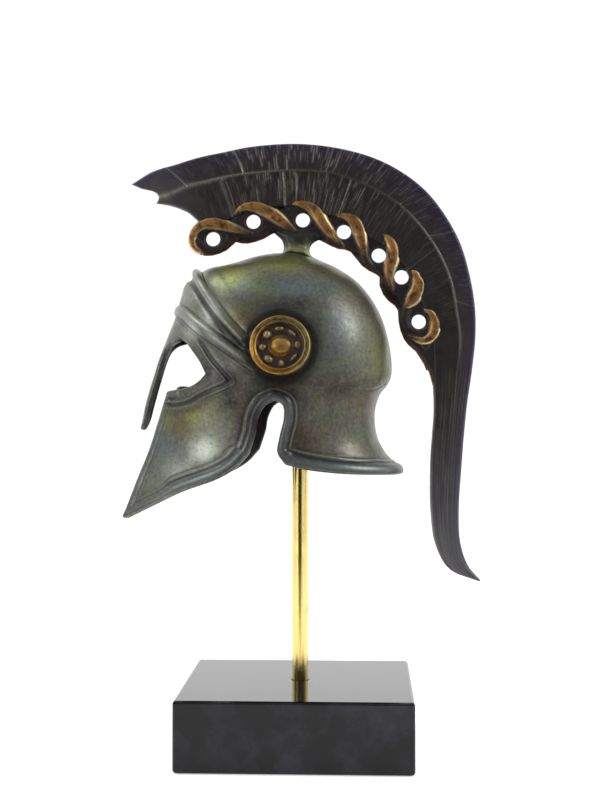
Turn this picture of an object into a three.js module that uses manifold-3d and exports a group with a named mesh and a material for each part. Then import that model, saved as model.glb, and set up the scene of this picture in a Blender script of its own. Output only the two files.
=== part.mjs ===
// A crested bronze helmet of the Greek kind, made at desk size and held on a brass rod in a marble block.
// Millimetres, +Z up. The helmet faces -X, its crest lies in the plane Y = 0, and the origin is the middle
// of the block's underside.
import * as THREE from 'three';
import { mergeVertices } from 'three/addons/utils/BufferGeometryUtils.js';
import Module from 'manifold-3d';

const wasm = await Module();
wasm.setup();

// ---- driving dimensions ----

const FIT = 0.3;          // clearance between two pieces that touch
const SKIN = 0.05;        // what a cutter runs on past a face
const base = { side: 100, height: 30, corner: 1.6, edge: 1.2 };
const rod = { x: 0.7, diameter: 7, foot: 20, top: 213 };
const socket = { diameter: 12.5, bottom: 197, top: 215.4 };
const wall = { side: 2.4, front: 2.8, crown: 2.4, heightOfEquator: 165 };
const rosette = {
  x: -6, z: 176.6, radius: 12.8, ringInner: 10.2, ringHeight: 4.8, dishHeight: 2.6,
  bossRadius: 4.3, bossHeight: 5.2, petals: 8, petalCircle: 7.2, petalRadius: 2.1, seat: 7, out: 0.6,
  tiltUp: 9,
};
const bead = { radius: 1.5, inset: 1.4 };
const ridge = { brow: 2.0, low: 1.5, eye: 0.9 };
const eyeHole = { diameter: 6.3 };
const braid = { swing: 6.4, strandWidth: 5.2, overHalf: 4.2, underHalf: 3.4, webHalf: 2.6, webReach: 5.6 };
const strandSpan = { from: 0.5, to: 7.5, stepsPerEye: 6 };
const webSpan = { from: 0.6, to: 7.6, steps: 28 };
const bowlFacets = { outer: [22, 40], hollow: [14, 24] };   // levels down the bowl and steps around it
const crestSteps = 36;
const post = { half: 3.4 };
const tailRootHalf = 2.8;

// The bowl's level sections, from the crown down. keel is 1 for a round front and more for a keeled one.
const BOWL = [
  // height, front, back, halfWidth, keel, middle
  [219.0, -5.0, -5.0, 0.0, 1.0, -5.0],
  [218.3, -13.0, 1.0, 7.0, 1.0, -6.0],
  [216.8, -20.5, 6.0, 11.8, 1.0, -7.0],
  [214.4, -28.5, 11.8, 16.0, 1.0, -7.5],
  [211.4, -40.5, 18.0, 20.2, 1.0, -8.0],
  [206.0, -49.4, 26.0, 25.4, 1.0, -8.0],
  [199.0, -52.2, 32.0, 30.0, 1.0, -8.0],
  [190.0, -54.8, 36.8, 33.6, 1.1, -8.0],
  [181.0, -58.5, 39.6, 35.5, 1.2, -8.0],
  [172.0, -62.0, 41.0, 36.0, 1.3, -8.0],
  [165.0, -64.1, 41.0, 36.0, 1.35, -8.0],
  [160.5, -65.4, 39.2, 35.8, 1.4, -8.0],
  [156.0, -66.5, 35.8, 35.4, 1.4, -8.0],
  [150.0, -67.9, 34.0, 34.8, 1.4, -8.0],
  [144.0, -69.1, 33.8, 34.2, 1.4, -8.0],
  [137.0, -71.0, 35.1, 34.0, 1.4, -8.0],
  [130.5, -73.0, 38.6, 34.2, 1.4, -8.0],
  [125.5, -75.0, 43.4, 34.8, 1.4, -8.0],
  [121.0, -77.2, 45.4, 35.2, 1.4, -8.0],
  [111.0, -82.0, 45.6, 34.4, 1.4, -8.0],
  [100.0, -87.0, 45.6, 33.0, 1.4, -8.0],
];

// Lines on the bowl, seen from the side as [x, z].
const EYE_EDGE = [[-53.5, 181], [-49.4, 179.3], [-45.6, 175], [-41.8, 170], [-39.2, 165]];
const EYE_FLOOR = [[-39.2, 165], [-41.5, 162.6], [-45.5, 160], [-51, 158.6], [-56.7, 157.6]];
const CHEEK_FRONT = [[-56.7, 157.6], [-59.9, 148.3], [-65, 133], [-71.1, 117.7], [-76.2, 103.6]];
const CHEEK_TIP = [[-74.4, 105.4], [-72.6, 105.4]];   // where the rolled rim turns round the cheek's point
const CHEEK_BELOW = [[-76, 102.7], [-63.3, 107.8], [-49.5, 114.3], [-33, 120.2], [-24, 124.4],
  [-18.7, 130.4]];
const CHEEK_BACK = [[-18.7, 130.4], [-16.7, 140], [-15.6, 146], [-12.6, 151.4], [-8.4, 153.5]];
const NAPE_FRONT = [[-8.4, 153.5], [-5.2, 151.6], [-4.7, 146.5], [-6.6, 138.4], [-7.5, 131.6], [-4.2, 126.4]];
const NAPE_BELOW = [[-4.2, 126.4], [6, 124], [19, 122.4], [32, 121.6], [45.4, 121]];
const BROW_RIDGE = [[-46, 209.9], [-40, 204.8], [-34.2, 196.6], [-29.2, 189.6], [-24.6, 183.4],
  [-20.2, 178.7]];
const LOW_RIDGE = [[-53.4, 193.6], [-49, 192], [-43, 187.4], [-36.4, 182.2], [-29.6, 178], [-24, 174.8],
  [-19.3, 172]];
const EYE_BORDER = [[-44, 182], [-39.4, 176.6], [-35.6, 171], [-31, 165.8], [-27.4, 161.8], [-32.6, 158.6],
  [-38.6, 155.6], [-44.8, 152.7], [-51, 151.2], [-56.4, 151.2]];

// The nasal seen from the front, as [height, halfWidth].
const NASAL = [[141, 0.6], [142.2, 2.4], [146, 3.7], [152, 4.2], [162, 4.4], [171, 4.8], [175.6, 6.2],
  [178.6, 10], [180.4, 16]];

// The crest's two hair bands: outer edge, the ridge between the bands and the inner edge, from the front
// points to the tip of the tail, with the half thickness of the outer edge and of the middle.
const CREST = [
  // outerX, outerZ, ridgeX, ridgeZ, innerX, innerZ, edgeHalf, middleHalf
  [-74.4, 249.8, -62.6, 243.8, -63.3, 241.1, 1.1, 2.0],
  [-65, 255.4, -57, 244.8, -57, 239.2, 1.4, 2.6],
  [-55, 258.4, -49, 248.2, -49, 235.6, 1.6, 3.0],
  [-45, 261.4, -40, 250.3, -40, 232.4, 1.7, 3.2],
  [-34, 263.7, -30, 252.6, -29, 234, 1.7, 3.3],
  [-20, 266.3, -18, 254.2, -18, 238, 1.7, 3.3],
  [0, 267.3, 0, 255, 0, 238.6, 1.7, 3.3],
  [18, 265.2, 15, 253.6, 13, 236.4, 1.7, 3.3],
  [34, 260.6, 28, 249.2, 23, 232.4, 1.7, 3.3],
  [47, 253.7, 38.6, 243.8, 32, 226.6, 1.7, 3.3],
  [57, 245.4, 47, 237.6, 40, 219.6, 1.7, 3.3],
  [65.4, 234.4, 55.4, 228.2, 46.6, 212, 1.7, 3.3],
  [71.4, 223, 62.4, 217.4, 52, 203.6, 1.7, 3.3],
  [75.2, 210.4, 67.2, 205.6, 56, 193.6, 1.7, 3.3],
  [77.8, 195.6, 69.6, 192.6, 58.4, 184, 1.7, 3.3],
  [78.1, 182, 71.2, 179.6, 59, 174, 1.7, 3.2],
  [76.6, 167, 69.4, 165.4, 59.2, 162, 1.6, 3.1],
  [74.2, 150, 67.2, 149.6, 59.6, 149.4, 1.6, 2.9],
  [72.2, 127, 65.4, 127, 58.1, 127, 1.5, 2.7],
  [70.8, 104, 64.6, 104.6, 58.2, 105, 1.4, 2.4],
  [71.6, 90.4, 66.2, 90, 60.4, 90, 1.2, 2.0],
  [74.9, 80.8, 71.2, 79.4, 66.6, 79.2, 0.9, 1.4],
  [80.3, 74.4, 79.9, 74.1, 79.5, 73.8, 0.5, 0.6],
];

// The seven pierced eyes of the plaited band, as [x, z], with a point of the same line before and after them.
const EYES = [[-37.9, 225.2], [-20, 232.8], [1.9, 233.4], [20.1, 228.1], [35.5, 217.6], [45.5, 208],
  [53.1, 188.3]];
const EYE_LINE = [[-54.5, 222.2], ...EYES, [58.5, 166.5]];

const bronze = new THREE.MeshStandardMaterial({ color: 0x6b6e55, roughness: 0.45, metalness: 0.85 });
const darkBronze = new THREE.MeshStandardMaterial({ color: 0x3a3430, roughness: 0.5, metalness: 0.8 });
const goldBronze = new THREE.MeshStandardMaterial({ color: 0xb58a45, roughness: 0.35, metalness: 0.9 });
const brass = new THREE.MeshStandardMaterial({ color: 0xe0c56e, roughness: 0.2, metalness: 1 });
const marble = new THREE.MeshStandardMaterial({ color: 0x2c2f33, roughness: 0.15, metalness: 0 });

// ---- solids ----

function solidOf(geometry) {
  const bare = geometry.index ? geometry.toNonIndexed() : geometry.clone();
  for (const name of Object.keys(bare.attributes)) if (name !== 'position') bare.deleteAttribute(name);
  const merged = mergeVertices(bare, 1e-4);
  const triangles = [];
  const index = merged.index.array;
  for (let i = 0; i < index.length; i += 3) {
    const [a, b, c] = [index[i], index[i + 1], index[i + 2]];
    if (a !== b && b !== c && c !== a) triangles.push(a, b, c);
  }
  return new wasm.Manifold(new wasm.Mesh({
    numProp: 3,
    vertProperties: new Float32Array(merged.attributes.position.array),
    triVerts: new Uint32Array(triangles),
  }));
}

function geometryOf(solid) {
  const mesh = solid.getMesh();
  const geometry = new THREE.BufferGeometry();
  geometry.setAttribute('position', new THREE.BufferAttribute(new Float32Array(mesh.vertProperties), 3));
  geometry.setIndex(new THREE.BufferAttribute(new Uint32Array(mesh.triVerts), 1));
  geometry.computeVertexNormals();
  return geometry;
}

const joined = (solids) => solids.reduce((sum, solid) => sum.add(solid));

function curve(points, closed = false) {
  return new THREE.CatmullRomCurve3(points.map(([x, y, z]) => new THREE.Vector3(x, y, z)), closed);
}

function smooth(points, steps) {
  return curve(points.map(([x, z]) => [x, 0, z])).getPoints(steps).map((p) => [p.x, p.z]);
}

// A shape drawn in X and Z, extruded along Y through the middle plane.
function acrossY(outline, half) {
  const shape = new THREE.Shape(outline.map(([x, z]) => new THREE.Vector2(x, z)));
  const geometry = new THREE.ExtrudeGeometry(shape, { depth: 2 * half, bevelEnabled: false });
  return solidOf(geometry.rotateX(Math.PI / 2).translate(0, half, 0));
}

// Rings of equal length joined side by side. A ring whose points all meet closes its end by itself.
function loft(rings) {
  const count = rings[0].length;
  const positions = [];
  const triangle = (a, b, c) => positions.push(...a, ...b, ...c);
  for (let r = 0; r + 1 < rings.length; r++) {
    for (let k = 0; k < count; k++) {
      const next = (k + 1) % count;
      triangle(rings[r][k], rings[r + 1][k], rings[r + 1][next]);
      triangle(rings[r][k], rings[r + 1][next], rings[r][next]);
    }
  }
  const middle = (ring) => [0, 1, 2].map((axis) => ring.reduce((sum, p) => sum + p[axis], 0) / count);
  for (const [ring, flip] of [[rings[0], false], [rings[rings.length - 1], true]]) {
    const centre = middle(ring);
    for (let k = 0; k < count; k++) {
      const next = ring[(k + 1) % count];
      if (flip) triangle(centre, next, ring[k]);
      else triangle(centre, ring[k], next);
    }
  }
  const geometry = new THREE.BufferGeometry();
  geometry.setAttribute('position', new THREE.Float32BufferAttribute(positions, 3));
  return solidOf(geometry);
}

function tube(points, radius, steps, sides = 6) {
  const section = new THREE.Shape();
  for (let k = 0; k < sides; k++) {
    const angle = (2 * Math.PI * (k + 0.5)) / sides;
    const [x, y] = [radius * Math.cos(angle), radius * Math.sin(angle)];
    if (k === 0) section.moveTo(x, y);
    else section.lineTo(x, y);
  }
  const settings = { steps, extrudePath: curve(points), bevelEnabled: false };
  return solidOf(new THREE.ExtrudeGeometry(section, settings));
}

// An upright cylinder about the rod's axis.
function onRodAxis(diameter, bottom, top, sides) {
  const geometry = new THREE.CylinderGeometry(diameter / 2, diameter / 2, top - bottom, sides);
  return solidOf(geometry.rotateX(Math.PI / 2).translate(rod.x, 0, (top + bottom) / 2));
}

// ---- the bowl ----

const edgeRows = new THREE.CatmullRomCurve3(
  BOWL.map(([height, front, back]) => new THREE.Vector3(front, back, height)), false, 'catmullrom', 0.5);
const widthRows = new THREE.CatmullRomCurve3(
  BOWL.map(([, , , half, keel, middle]) => new THREE.Vector3(half, keel, middle)), false, 'catmullrom', 0.5);

function bowlRow(t) {
  const edge = edgeRows.getPoint(t);
  const width = widthRows.getPoint(t);
  return {
    height: edge.z, front: edge.x, back: edge.y, half: Math.max(width.x, 0), keel: width.y, middle: width.z,
  };
}

const FINE = Array.from({ length: 401 }, (_, i) => bowlRow(i / 400));
const equator = FINE.find((row) => row.height <= wall.heightOfEquator);

function bowlY(x, z) {
  const row = FINE.find((r) => r.height <= z) ?? FINE[FINE.length - 1];
  const forward = x < row.middle;
  const reach = forward ? row.middle - row.front : row.back - row.middle;
  const s = Math.min(Math.abs(x - row.middle) / reach, 1);
  return row.half * Math.pow(1 - s * s, forward ? row.keel / 2 : 0.5);
}

// One level ring, shrunk by the wall or grown by a negative one.
function bowlRing(row, count, shrink) {
  const above = row.height > wall.heightOfEquator;
  const trim = (size, full, by) => (above ? size * (1 - by / full) : size - by);
  const front = trim(row.middle - row.front, equator.middle - equator.front, shrink * wall.front);
  const back = trim(row.back - row.middle, equator.back - equator.middle, shrink * wall.side);
  const half = trim(row.half, equator.half, shrink * wall.side);
  const crown = BOWL[0][0] - wall.heightOfEquator;
  const height = above
    ? wall.heightOfEquator + (row.height - wall.heightOfEquator) * (1 - (shrink * wall.crown) / crown)
    : row.height;
  return Array.from({ length: count }, (_, k) => {
    const angle = (2 * Math.PI * k) / count;
    const [c, s] = [Math.cos(angle), Math.sin(angle)];
    const reach = c < 0 ? front : back;
    const side = c < 0 ? Math.sign(s) * Math.pow(Math.abs(s), row.keel) : s;
    return [row.middle + reach * c, half * side, height];
  });
}

function bowl([levels, around], shrink) {
  const rings = Array.from({ length: levels + 1 }, (_, i) => bowlRing(bowlRow(i / levels), around, shrink));
  if (shrink > 0) rings.push(rings[levels].map(([x, y, z]) => [x, y, z - 2 * SKIN]));
  return loft(rings);
}

// ---- the helmet ----

const onBowl = (line, side) => line.map(([x, z]) => [x, side * bowlY(x, z), z]);

function bothSides(line) {
  return [...onBowl(line, -1).reverse(), ...onBowl(line, 1).slice(1)];
}

function sideCutter() {
  const outline = [
    [-120, 181], ...smooth(EYE_EDGE, 8), ...smooth(EYE_FLOOR, 6).slice(1), ...smooth(CHEEK_FRONT, 5).slice(1),
    ...smooth(CHEEK_BELOW, 10), ...smooth(CHEEK_BACK, 8).slice(1), ...smooth(NAPE_FRONT, 9).slice(1),
    ...smooth(NAPE_BELOW, 4).slice(1), [90, 121], [90, 60], [-120, 60],
  ];
  return acrossY(outline, 60);
}

function nasalBlock() {
  const right = smooth(NASAL.map(([height, half]) => [half, height]), 16);
  const left = right.map(([half, height]) => [-half, height]).reverse();
  const outline = [...right, [16, 186], [-16, 186], ...left];
  const shape = new THREE.Shape(outline.map(([y, z]) => new THREE.Vector2(y, z)));
  const geometry = new THREE.ExtrudeGeometry(shape, { depth: 45, bevelEnabled: false });
  const turn = new THREE.Matrix4().makeBasis(
    new THREE.Vector3(0, 1, 0), new THREE.Vector3(0, 0, 1), new THREE.Vector3(1, 0, 0));
  return solidOf(geometry.applyMatrix4(turn).translate(-90, 0, 0));
}

// The same line moved towards the metal, which lies to the left of its direction.
function inset(line, distance) {
  return line.map(([x, z], i) => {
    const [before, after] = [line[Math.max(i - 1, 0)], line[Math.min(i + 1, line.length - 1)]];
    const along = new THREE.Vector2(after[0] - before[0], after[1] - before[1]).normalize();
    return [x - along.y * distance, z + along.x * distance];
  });
}

function helmetShell() {
  const outer = bowl(bowlFacets.outer, 0);
  const hollow = bowl(bowlFacets.hollow, 1);
  const sheet = outer.subtract(hollow);
  const shell = sheet.subtract(sideCutter()).add(sheet.intersect(nasalBlock()));
  const rimLine = [
    ...inset(CHEEK_FRONT, bead.inset).slice(0, -1), ...CHEEK_TIP, ...inset(CHEEK_BELOW, bead.inset).slice(1),
    ...inset([...CHEEK_BACK, ...NAPE_FRONT.slice(1), ...NAPE_BELOW.slice(1)], bead.inset).slice(1),
  ];
  const rim = [...onBowl(rimLine, -1), ...onBowl(rimLine.slice(0, -1), 1).reverse()];
  const relief = [
    tube(rim, bead.radius, 60, 5),
    tube(bothSides(BROW_RIDGE), ridge.brow, 16, 5),
    tube(bothSides(LOW_RIDGE), ridge.low, 16, 4),
    ...[-1, 1].map((side) => tube(onBowl(EYE_BORDER, side), ridge.eye, 12, 4)),
  ];
  const boss = onRodAxis(socket.diameter, socket.bottom, socket.top, 20);
  const bore = onRodAxis(rod.diameter + 2 * FIT, socket.bottom - 1, rod.top + FIT, 20);
  return joined([shell, ...relief, boss]).subtract(bore);
}

// ---- the rosettes ----

function earRosette(side) {
  const r = rosette;
  const profile = [
    [0, -r.seat], [r.radius - 1, -r.seat], [r.radius, 0], [r.radius, r.ringHeight - 1.2],
    [r.radius - 0.9, r.ringHeight], [r.ringInner + 0.8, r.ringHeight], [r.ringInner, r.dishHeight],
    [r.bossRadius, r.dishHeight], [r.bossRadius * 0.85, r.bossHeight - 1],
    [r.bossRadius * 0.45, r.bossHeight], [0, r.bossHeight],
  ].map(([x, y]) => new THREE.Vector2(x, y));
  const disc = solidOf(new THREE.LatheGeometry(profile, 24));
  const petals = Array.from({ length: r.petals }, (_, k) => {
    const angle = (2 * Math.PI * k) / r.petals;
    const bead = new THREE.SphereGeometry(r.petalRadius, 6, 4);
    bead.translate(r.petalCircle * Math.cos(angle), r.dishHeight, r.petalCircle * Math.sin(angle));
    return solidOf(bead);
  });
  const [x, y, z] = onBowl([[r.x, r.z]], side)[0];
  const tilt = THREE.MathUtils.degToRad(r.tiltUp);
  const place = new THREE.Matrix4().makeTranslation(x, y + side * r.out, z)
    .multiply(new THREE.Matrix4().makeRotationX(side > 0 ? tilt : Math.PI - tilt));
  return joined([disc, ...petals]).transform(place.toArray());
}

// ---- the crest ----

function crestRows(count) {
  const column = (first) => curve(CREST.map((row) => [row[first], 0, row[first + 1]]));
  const thickness = curve(CREST.map((row) => [row[6], row[7], 0]));
  const [outer, ridge, inner] = [0, 2, 4].map(column);
  return Array.from({ length: count + 1 }, (_, i) => {
    const t = i / count;
    const half = thickness.getPoint(t);
    return [[outer.getPoint(t), half.x], [ridge.getPoint(t), half.y], [inner.getPoint(t), half.y]];
  });
}

function hairPlate() {
  return loft(crestRows(crestSteps).map((row) => [
    ...row.map(([p, half]) => [p.x, half, p.z]),
    ...row.map(([p, half]) => [p.x, -half, p.z]).reverse(),
  ]));
}

const eyeLine = new THREE.CatmullRomCurve3(
  EYE_LINE.map(([x, z]) => new THREE.Vector3(x, 0, z)), false, 'catmullrom', 0.5);

// The plait's centre line at eye number k, counted from 1, and the direction outwards from it.
function plaitFrame(k) {
  const t = k / (EYE_LINE.length - 1);
  const along = eyeLine.getTangent(t);
  return { at: eyeLine.getPoint(t), out: new THREE.Vector3(-along.z, 0, along.x) };
}

// One of the two strands. It stands thicker where it falls across the other one.
function strand(phase) {
  const section = [[-1, 0.5], [0, 1], [1, 0.5], [1, -0.5], [0, -1], [-1, -0.5]];
  const rings = [];
  for (let i = 0; i <= (strandSpan.to - strandSpan.from) * strandSpan.stepsPerEye; i++) {
    const k = strandSpan.from + i / strandSpan.stepsPerEye;
    const swing = phase * Math.cos(Math.PI * (k - 1));
    const { at, out } = plaitFrame(k);
    const falling = phase * Math.sin(Math.PI * (k - 1)) > 0;
    const lift = Math.abs(Math.sin(Math.PI * (k - 1)));
    const half = falling ? braid.overHalf : braid.overHalf - lift * (braid.overHalf - braid.underHalf);
    const centre = at.clone().addScaledVector(out, swing * braid.swing);
    rings.push(section.map(([u, v]) => ({ u: (u * braid.strandWidth) / 2, v: v * half, centre })));
  }
  return loft(rings.map((ring, i) => {
    const before = rings[Math.max(i - 1, 0)][0].centre;
    const after = rings[Math.min(i + 1, rings.length - 1)][0].centre;
    const along = after.clone().sub(before).normalize();
    return ring.map(({ u, v, centre }) => [centre.x - along.z * u, -v, centre.z + along.x * u]);
  }));
}

function plaitWeb() {
  const rings = Array.from({ length: webSpan.steps + 1 }, (_, i) => {
    const { at, out } = plaitFrame(webSpan.from + (i / webSpan.steps) * (webSpan.to - webSpan.from));
    return [[-1, -1], [1, -1], [1, 1], [-1, 1]].map(([u, v]) => {
      const p = at.clone().addScaledVector(out, u * braid.webReach);
      return [p.x, v * braid.webHalf, p.z];
    });
  });
  return loft(rings);
}

function crest() {
  const postShape = [
    [-12.4, 231], ...smooth([[-10.6, 227.6], [-7.4, 224.6], [-6.5, 221.4], [-7.2, 218], [-8.6, 213]], 8),
    ...smooth([[6.6, 213], [5.2, 217.4], [4.8, 220], [6.2, 223], [10, 225.2]], 8), [12, 231],
  ];
  const tailRoot = [[46.4, 186], [47.3, 180], [50, 177.4], [54, 172], [57.6, 166], [59.3, 160], [64, 160],
    [64, 186]];
  const body = joined([
    hairPlate(), strand(1), strand(-1), plaitWeb(), acrossY(postShape, post.half),
    acrossY(tailRoot, tailRootHalf),
  ]);
  const holes = EYES.map(([x, z]) => {
    const pin = new THREE.CylinderGeometry(eyeHole.diameter / 2, eyeHole.diameter / 2, 12, 16);
    return solidOf(pin.translate(x, 0, z));
  });
  return body.subtract(joined(holes)).subtract(bowl(bowlFacets.outer, -FIT / wall.side));
}

// ---- the stand ----

function marbleBase() {
  const reach = base.side / 2 - base.edge;
  const c = base.corner;
  const shape = new THREE.Shape();
  shape.moveTo(-reach + c, -reach);
  for (const [sx, sy] of [[1, -1], [1, 1], [-1, 1], [-1, -1]]) {
    const turn = Math.atan2(sy, sx) - Math.PI / 4;
    shape.absarc(sx * (reach - c), sy * (reach - c), c, turn, turn + Math.PI / 2);
  }
  const geometry = new THREE.ExtrudeGeometry(shape, {
    depth: base.height - 2 * base.edge, bevelThickness: base.edge, bevelSize: base.edge, bevelSegments: 1,
    curveSegments: 3,
  });
  const hole = onRodAxis(rod.diameter + 2 * FIT, rod.foot - FIT, base.height + 1, 24);
  return solidOf(geometry.translate(0, 0, base.edge)).subtract(hole);
}

// ---- the object ----

function piece(name, solid, material) {
  const mesh = new THREE.Mesh(geometryOf(solid), material);
  mesh.name = name;
  return mesh;
}

const outerBowl = bowl(bowlFacets.outer, -FIT / wall.side);
const helmet = new THREE.Group();
helmet.add(piece('helmet_shell', helmetShell(), bronze));
helmet.add(piece('ear_rosette_left', earRosette(1).subtract(outerBowl), goldBronze));
helmet.add(piece('ear_rosette_right', earRosette(-1).subtract(outerBowl), goldBronze));
helmet.add(piece('crest', crest(), darkBronze));
helmet.add(piece('display_rod', onRodAxis(rod.diameter, rod.foot, rod.top, 24), brass));
helmet.add(piece('marble_base', marbleBase(), marble));

export default helmet;
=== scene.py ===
# %% [markdown]
# # A crested bronze helmet on its stand
# The real object is a desk-size copy of an ancient Greek helmet. The bowl, its cheek guards and its nose
# guard are one bronze casting with a green-brown patina. A dark crest of cast horsehair stands over it on
# a short neck, with a plait of gilt bars along its lower edge. A brass rod in a block of black marble
# holds everything up. The CAD model gives the true places, so each piece here repeats its measures in
# millimetres and adds what a quick solid leaves out: relief lines, rolled rims, hair, petals and the
# finishes.

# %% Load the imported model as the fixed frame
import math

import bmesh
import bpy
import numpy as np
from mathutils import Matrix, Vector
from mathutils.kdtree import KDTree


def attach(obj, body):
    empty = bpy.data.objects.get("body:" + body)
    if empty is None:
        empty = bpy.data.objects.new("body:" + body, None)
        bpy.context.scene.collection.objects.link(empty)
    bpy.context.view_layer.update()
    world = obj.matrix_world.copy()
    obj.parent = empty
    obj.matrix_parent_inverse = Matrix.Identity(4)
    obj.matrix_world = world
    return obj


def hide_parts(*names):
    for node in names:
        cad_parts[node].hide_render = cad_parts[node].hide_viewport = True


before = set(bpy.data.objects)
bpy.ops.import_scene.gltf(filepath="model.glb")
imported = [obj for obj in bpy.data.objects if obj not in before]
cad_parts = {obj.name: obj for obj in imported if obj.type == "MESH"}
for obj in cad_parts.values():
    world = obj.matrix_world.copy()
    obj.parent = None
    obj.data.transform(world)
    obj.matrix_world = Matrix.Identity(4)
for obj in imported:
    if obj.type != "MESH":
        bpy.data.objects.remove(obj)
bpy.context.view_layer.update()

# %% [markdown]
# ## Units and small helpers
# Blender works in metres, but a maker thinks in millimetres, so all shapes are worked out in millimetres
# and turned to metres at the very end. Numpy handles whole lists of points at once, which keeps fine
# relief fast.

# %% Splines
MM = 0.001


def spline(points, at, even=False):
    """Points on a smooth curve through the given ones. at counts spans from 0, and needn't be whole."""
    given = np.asarray(points, float)
    given = np.vstack([2 * given[0] - given[1], given, 2 * given[-1] - given[-2]])
    at = np.clip(np.atleast_1d(np.asarray(at, float)), 0, len(points) - 1 - 1e-9)
    first = at.astype(int)
    share = (at - first)[:, None]
    before, start, end, after = (given[first + step] for step in range(4))
    if even:
        leave, arrive = (end - before) / 2, (after - start) / 2
    else:
        gaps = [np.sqrt(np.linalg.norm(b - a, axis=1, keepdims=True))
                for a, b in ((before, start), (start, end), (end, after))]
        middle = np.where(gaps[1] < 1e-4, 1.0, gaps[1])
        earlier = np.where(gaps[0] < 1e-4, middle, gaps[0])
        later = np.where(gaps[2] < 1e-4, middle, gaps[2])
        leave = ((start - before) / earlier - (end - before) / (earlier + middle)
                 + (end - start) / middle) * middle
        arrive = ((end - start) / middle - (after - start) / (middle + later)
                  + (after - end) / later) * middle
    square, cube = share**2, share**3
    return ((2 * cube - 3 * square + 1) * start + (cube - 2 * square + share) * leave
            + (3 * square - 2 * cube) * end + (cube - square) * arrive)


def smooth_line(points, per_span=8):
    """The whole smooth curve through the points, with per_span steps from each to the next."""
    spans = len(points) - 1
    return spline(points, np.linspace(0, spans, spans * per_span + 1))


# %% Meshes
def new_piece(name, points, faces, attributes=()):
    """A smooth-shaded mesh object from millimetre points, with named numbers stored on its points."""
    mesh = bpy.data.meshes.new(name)
    mesh.from_pydata((np.asarray(points, float) * MM).tolist(), [], [list(f) for f in faces])
    for key, values in dict(attributes).items():
        layer = mesh.attributes.new(key, "FLOAT", "POINT")
        layer.data.foreach_set("value", np.asarray(values, np.float32))
    tidy = bmesh.new()
    tidy.from_mesh(mesh)
    bmesh.ops.remove_doubles(tidy, verts=tidy.verts, dist=0.004 * MM)
    bmesh.ops.dissolve_degenerate(tidy, edges=tidy.edges, dist=0.002 * MM)
    bmesh.ops.recalc_face_normals(tidy, faces=tidy.faces)
    tidy.to_mesh(mesh)
    tidy.free()
    mesh.shade_smooth()
    piece = bpy.data.objects.new(name, mesh)
    bpy.context.scene.collection.objects.link(piece)
    triangles = sum(len(face.vertices) - 2 for face in mesh.polygons)
    print(f"{name}: {len(mesh.vertices)} points, {triangles} triangles")
    return piece


def smoothstep(value, low, high):
    """0 below low, 1 above high and an easy S between them."""
    share = np.clip((value - low) / (high - low), 0, 1)
    return share * share * (3 - 2 * share)


def soft_patch(points, x, z, reach_x, reach_z):
    """1 at a place seen from the side, fading away over its reach."""
    return np.exp(-((points[:, 0] - x) / reach_x) ** 2 - ((points[:, 2] - z) / reach_z) ** 2)


def ring_faces(rows, around):
    """The faces between rows of points, where every row is a closed ring."""
    faces = []
    for start in range(0, (rows - 1) * around, around):
        for k in range(around):
            n = (k + 1) % around
            faces.append([start + k, start + n, start + around + n, start + around + k])
    return faces


# %% Distances to lines, and lines in relief
def search_tree(points):
    """A tree that finds the point nearest to a spot."""
    tree = KDTree(len(points))
    for index, spot in enumerate(points):
        tree.insert(spot, index)
    tree.balance()
    return tree


def nearest_on_line(line, points):
    """For each point, its distance from a polyline, the place along it from 0 to 1 and the nearest spot."""
    tree = search_tree(line)
    found = np.array([tree.find(point)[1] for point in points], int)
    best = np.full(len(points), 1e9)
    share = np.zeros(len(points))
    spots = np.zeros((len(points), 3))
    for shift in (-1, 0):
        start = np.clip(found + shift, 0, len(line) - 2)
        a, b = line[start], line[start + 1]
        along = b - a
        t = np.einsum("ij,ij->i", points - a, along) / np.maximum(np.einsum("ij,ij->i", along, along), 1e-12)
        spot = a + along * np.clip(t, 0, 1)[:, None]
        gap = np.linalg.norm(points - spot, axis=1)
        closer = gap < best
        best = np.where(closer, gap, best)
        share = np.where(closer, (start + np.clip(t, 0, 1)) / (len(line) - 1), share)
        spots[closer] = spot[closer]
    return best, share, spots


class Relief:
    """What stands up from a surface, in mm, and where it is dark or pale: patina, rubbing, painted shade and
    highlights.
    """

    def __init__(self, count):
        self.height = np.zeros(count)
        self.dark = np.zeros(count)
        self.pale = np.zeros(count)

    def add(self, distance, profile, weight=1.0):
        """Each profile row is [offset, half width, height, dark, pale, flatness of its top]."""
        for offset, width, height, dark, pale, power in profile:
            swell = np.exp(-np.abs((distance - offset) / width) ** power) * weight
            self.height += swell * height
            self.dark = np.maximum(self.dark, swell * dark)
            self.pale = np.maximum(self.pale, swell * pale)


# %% Trimming a mesh to a shape
HALVINGS = 14       # how many times the step across the shape's edge is halved


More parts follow.
